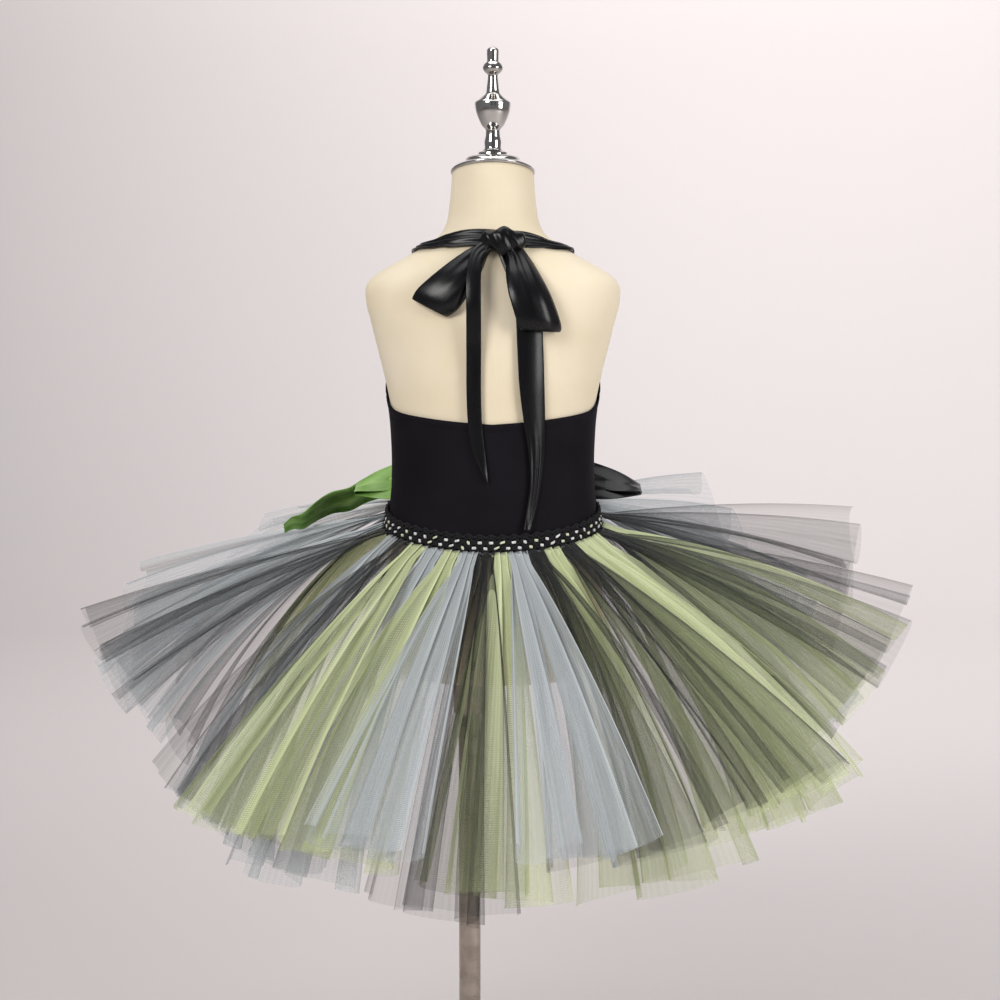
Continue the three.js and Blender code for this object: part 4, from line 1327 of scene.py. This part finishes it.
# %% The halter and the nape bow
# name, table, cup, layers, curl, flat cut, how it is held
NAPE_RIBBONS = [
    ("loop_left", LEFT_LOOP, 2.5, 1, 13, (0.038, 0.16), "folded"),
    ("loop_right", RIGHT_LOOP, 3.0, 1, 16, (0.038, 0.17), "folded"),
    ("tail_left", LEFT_TAIL, 0.8, 2.8, 0, (0.038, 0.24), "hung"),
    ("tail_right", RIGHT_TAIL, 1.4, 1.6, 2, (0.038, 0.28), "hung"),
]
NAPE_KNOT_SIZE = (22, 8.5, 12.5)


def nape_bow():
    strap(-1)
    strap(1)
    centre = off_back(np.array(10.0), np.array(956.5), np.array(12.0))
    knot("knot_nape", centre, NAPE_KNOT_SIZE, 12, BLACK, "nape_knot")
    for name, table, cup, layers, curl, flat, held in NAPE_RIBBONS:
        points = back_ribbon(table, cup, layers, curl)
        add_ribbon(name, points, BLACK, "nape_" + name, flat)


nape_bow()
print("nape bow: two straps, a knot and", len(NAPE_RIBBONS), "ribbons")

# %% The front bow
# name, table, side, reach, satin, CAD node, flat cut
FRONT_RIBBONS = [
    ("bow_loop_black", FRONT_LOOP, 1, 1.0, BLACK, "front_loop_black", (0.038, 0.29)),
    ("bow_loop_green", FRONT_LOOP, -1, 0.93, GREEN, "front_loop_green", (0.038, 0.27)),
    ("bow_tail_green", FRONT_TAIL, 1, 1.0, GREEN, "front_tail_green", (0.03, 0.25)),
]
FRONT_KNOT_SIZE = (FRONT_KNOT_HALF, 9, 15)


def front_bow():
    middle, cut = np.array([0, 96.5, 716.0]), (0.03, 0.04)
    knot("knot_front", middle, FRONT_KNOT_SIZE, 6, GREEN, "front_knot")
    for name, table, side, reach, satin, node, flat in FRONT_RIBBONS:
        points = front_ribbon(table, side, reach)
        add_ribbon(name, points, satin, node, flat)


front_bow()
print("front bow: a knot and", len(FRONT_RIBBONS), "ribbons")

# %% [markdown]
# ## Studio
# The dress stands in front of a pale sheet of paper that turns up from the floor with no corner.
# A floor and a wall would show the line where they meet. Large soft lights wrap round the form,
# and as chrome shows only what stands about it, three dark flags out of view give it its lines.


# %% The backdrop
def backdrop_with_painted_shade():
    finish = Finish("backdrop", roughness=0.95, specular_ior_level=0.1)
    place = finish.place()
    x, _, height = place.parts()
    # Painted shade: the paper's colour darkens towards the left and towards the floor, under a
    # random tone from the noise.
    tone = finish.noise(place, 0.6, 3.0) * 0.14 + x * 0.17 + height * 0.2 + 0.17
    finish.set("Base Color", tone.between((0.58, 0.54, 0.535), (0.86, 0.80, 0.79)))
    return finish.material


def cyclorama():
    """A floor that turns up into a wall."""
    bend, wall_y, floor_y, top, half = 1600, 4600, -4600, 4600, 5600
    angle = np.linspace(0, math.pi / 2, 25)
    turn = zip(wall_y - bend + bend * np.sin(angle), bend - bend * np.cos(angle))
    profile = [(floor_y, 0), *turn, (wall_y, top)]
    across = np.linspace(-half, half, 9)
    points = np.array([[(x, y, z) for x in across] for y, z in profile])
    floor = add_grid("cyclorama", points, backdrop_with_painted_shade())


# %% Soft lights and dark flags
FLAG_HEIGHTS = (700, 3000)


def soft_light(name, place, target, size, power, colour=(1, 1, 1)):
    data = bpy.data.lights.new(name, "AREA")
    data.shape = "RECTANGLE"
    data.size, data.size_y = size
    data.energy = power
    data.color = colour
    light = bpy.data.objects.new(name, data)
    bpy.context.scene.collection.objects.link(light)
    light.location = place
    light.rotation_euler = (Vector(target) - Vector(place)).to_track_quat("-Z", "Y").to_euler()


def flag(name, x, y, half):
    """A dark upright card behind the camera, which only the chrome shows."""
    low, high = FLAG_HEIGHTS
    finish = Finish(name, roughness=0.9)
    tone = finish.noise(finish.place(), 3.0)
    finish.set("Base Color", tone.between((0.015, 0.015, 0.015), (0.03, 0.03, 0.03)))
    rows = [[(x - half, y, z), (x + half, y, z)] for z in (low, high)]
    card = add_grid(name, np.array(rows, float), finish.material)


# %% The studio put together
def build_studio():
    cyclorama()
    soft_light("key", (-1.6, -2.1, 2.1), (0, 0, 0.75), (1.2, 1.2), 50, (1.0, 0.985, 0.96))
    soft_light("fill", (2.1, -1.6, 1.3), (0, 0, 0.7), (1.2, 1.6), 41, (1.0, 0.99, 0.97))
    soft_light("top", (0, 0.2, 2.9), (0, 0, 0.8), (1.8, 1.8), 22)
    soft_light("wall", (0.6, 1.6, 3.4), (0.6, 4.6, 1.6), (4.0, 1.2), 125)
    flag("flag_left", -330, -2500, 120)
    flag("flag_middle", 60, -2900, 60)
    flag("flag_right", 620, -2500, 150)
    world = bpy.context.scene.world or bpy.data.worlds.new("world")
    bpy.context.scene.world = world
    world.use_nodes = True
    background = next(n for n in world.node_tree.nodes if n.type == "BACKGROUND")
    background.inputs["Color"].default_value = (0.93, 0.94, 1.0, 1)
    background.inputs["Strength"].default_value = 0.22
    bpy.context.scene.cycles.transparent_max_bounces = 28
    bpy.context.scene.cycles.max_bounces = 5
    bpy.context.scene.view_settings.view_transform = "Standard"


build_studio()
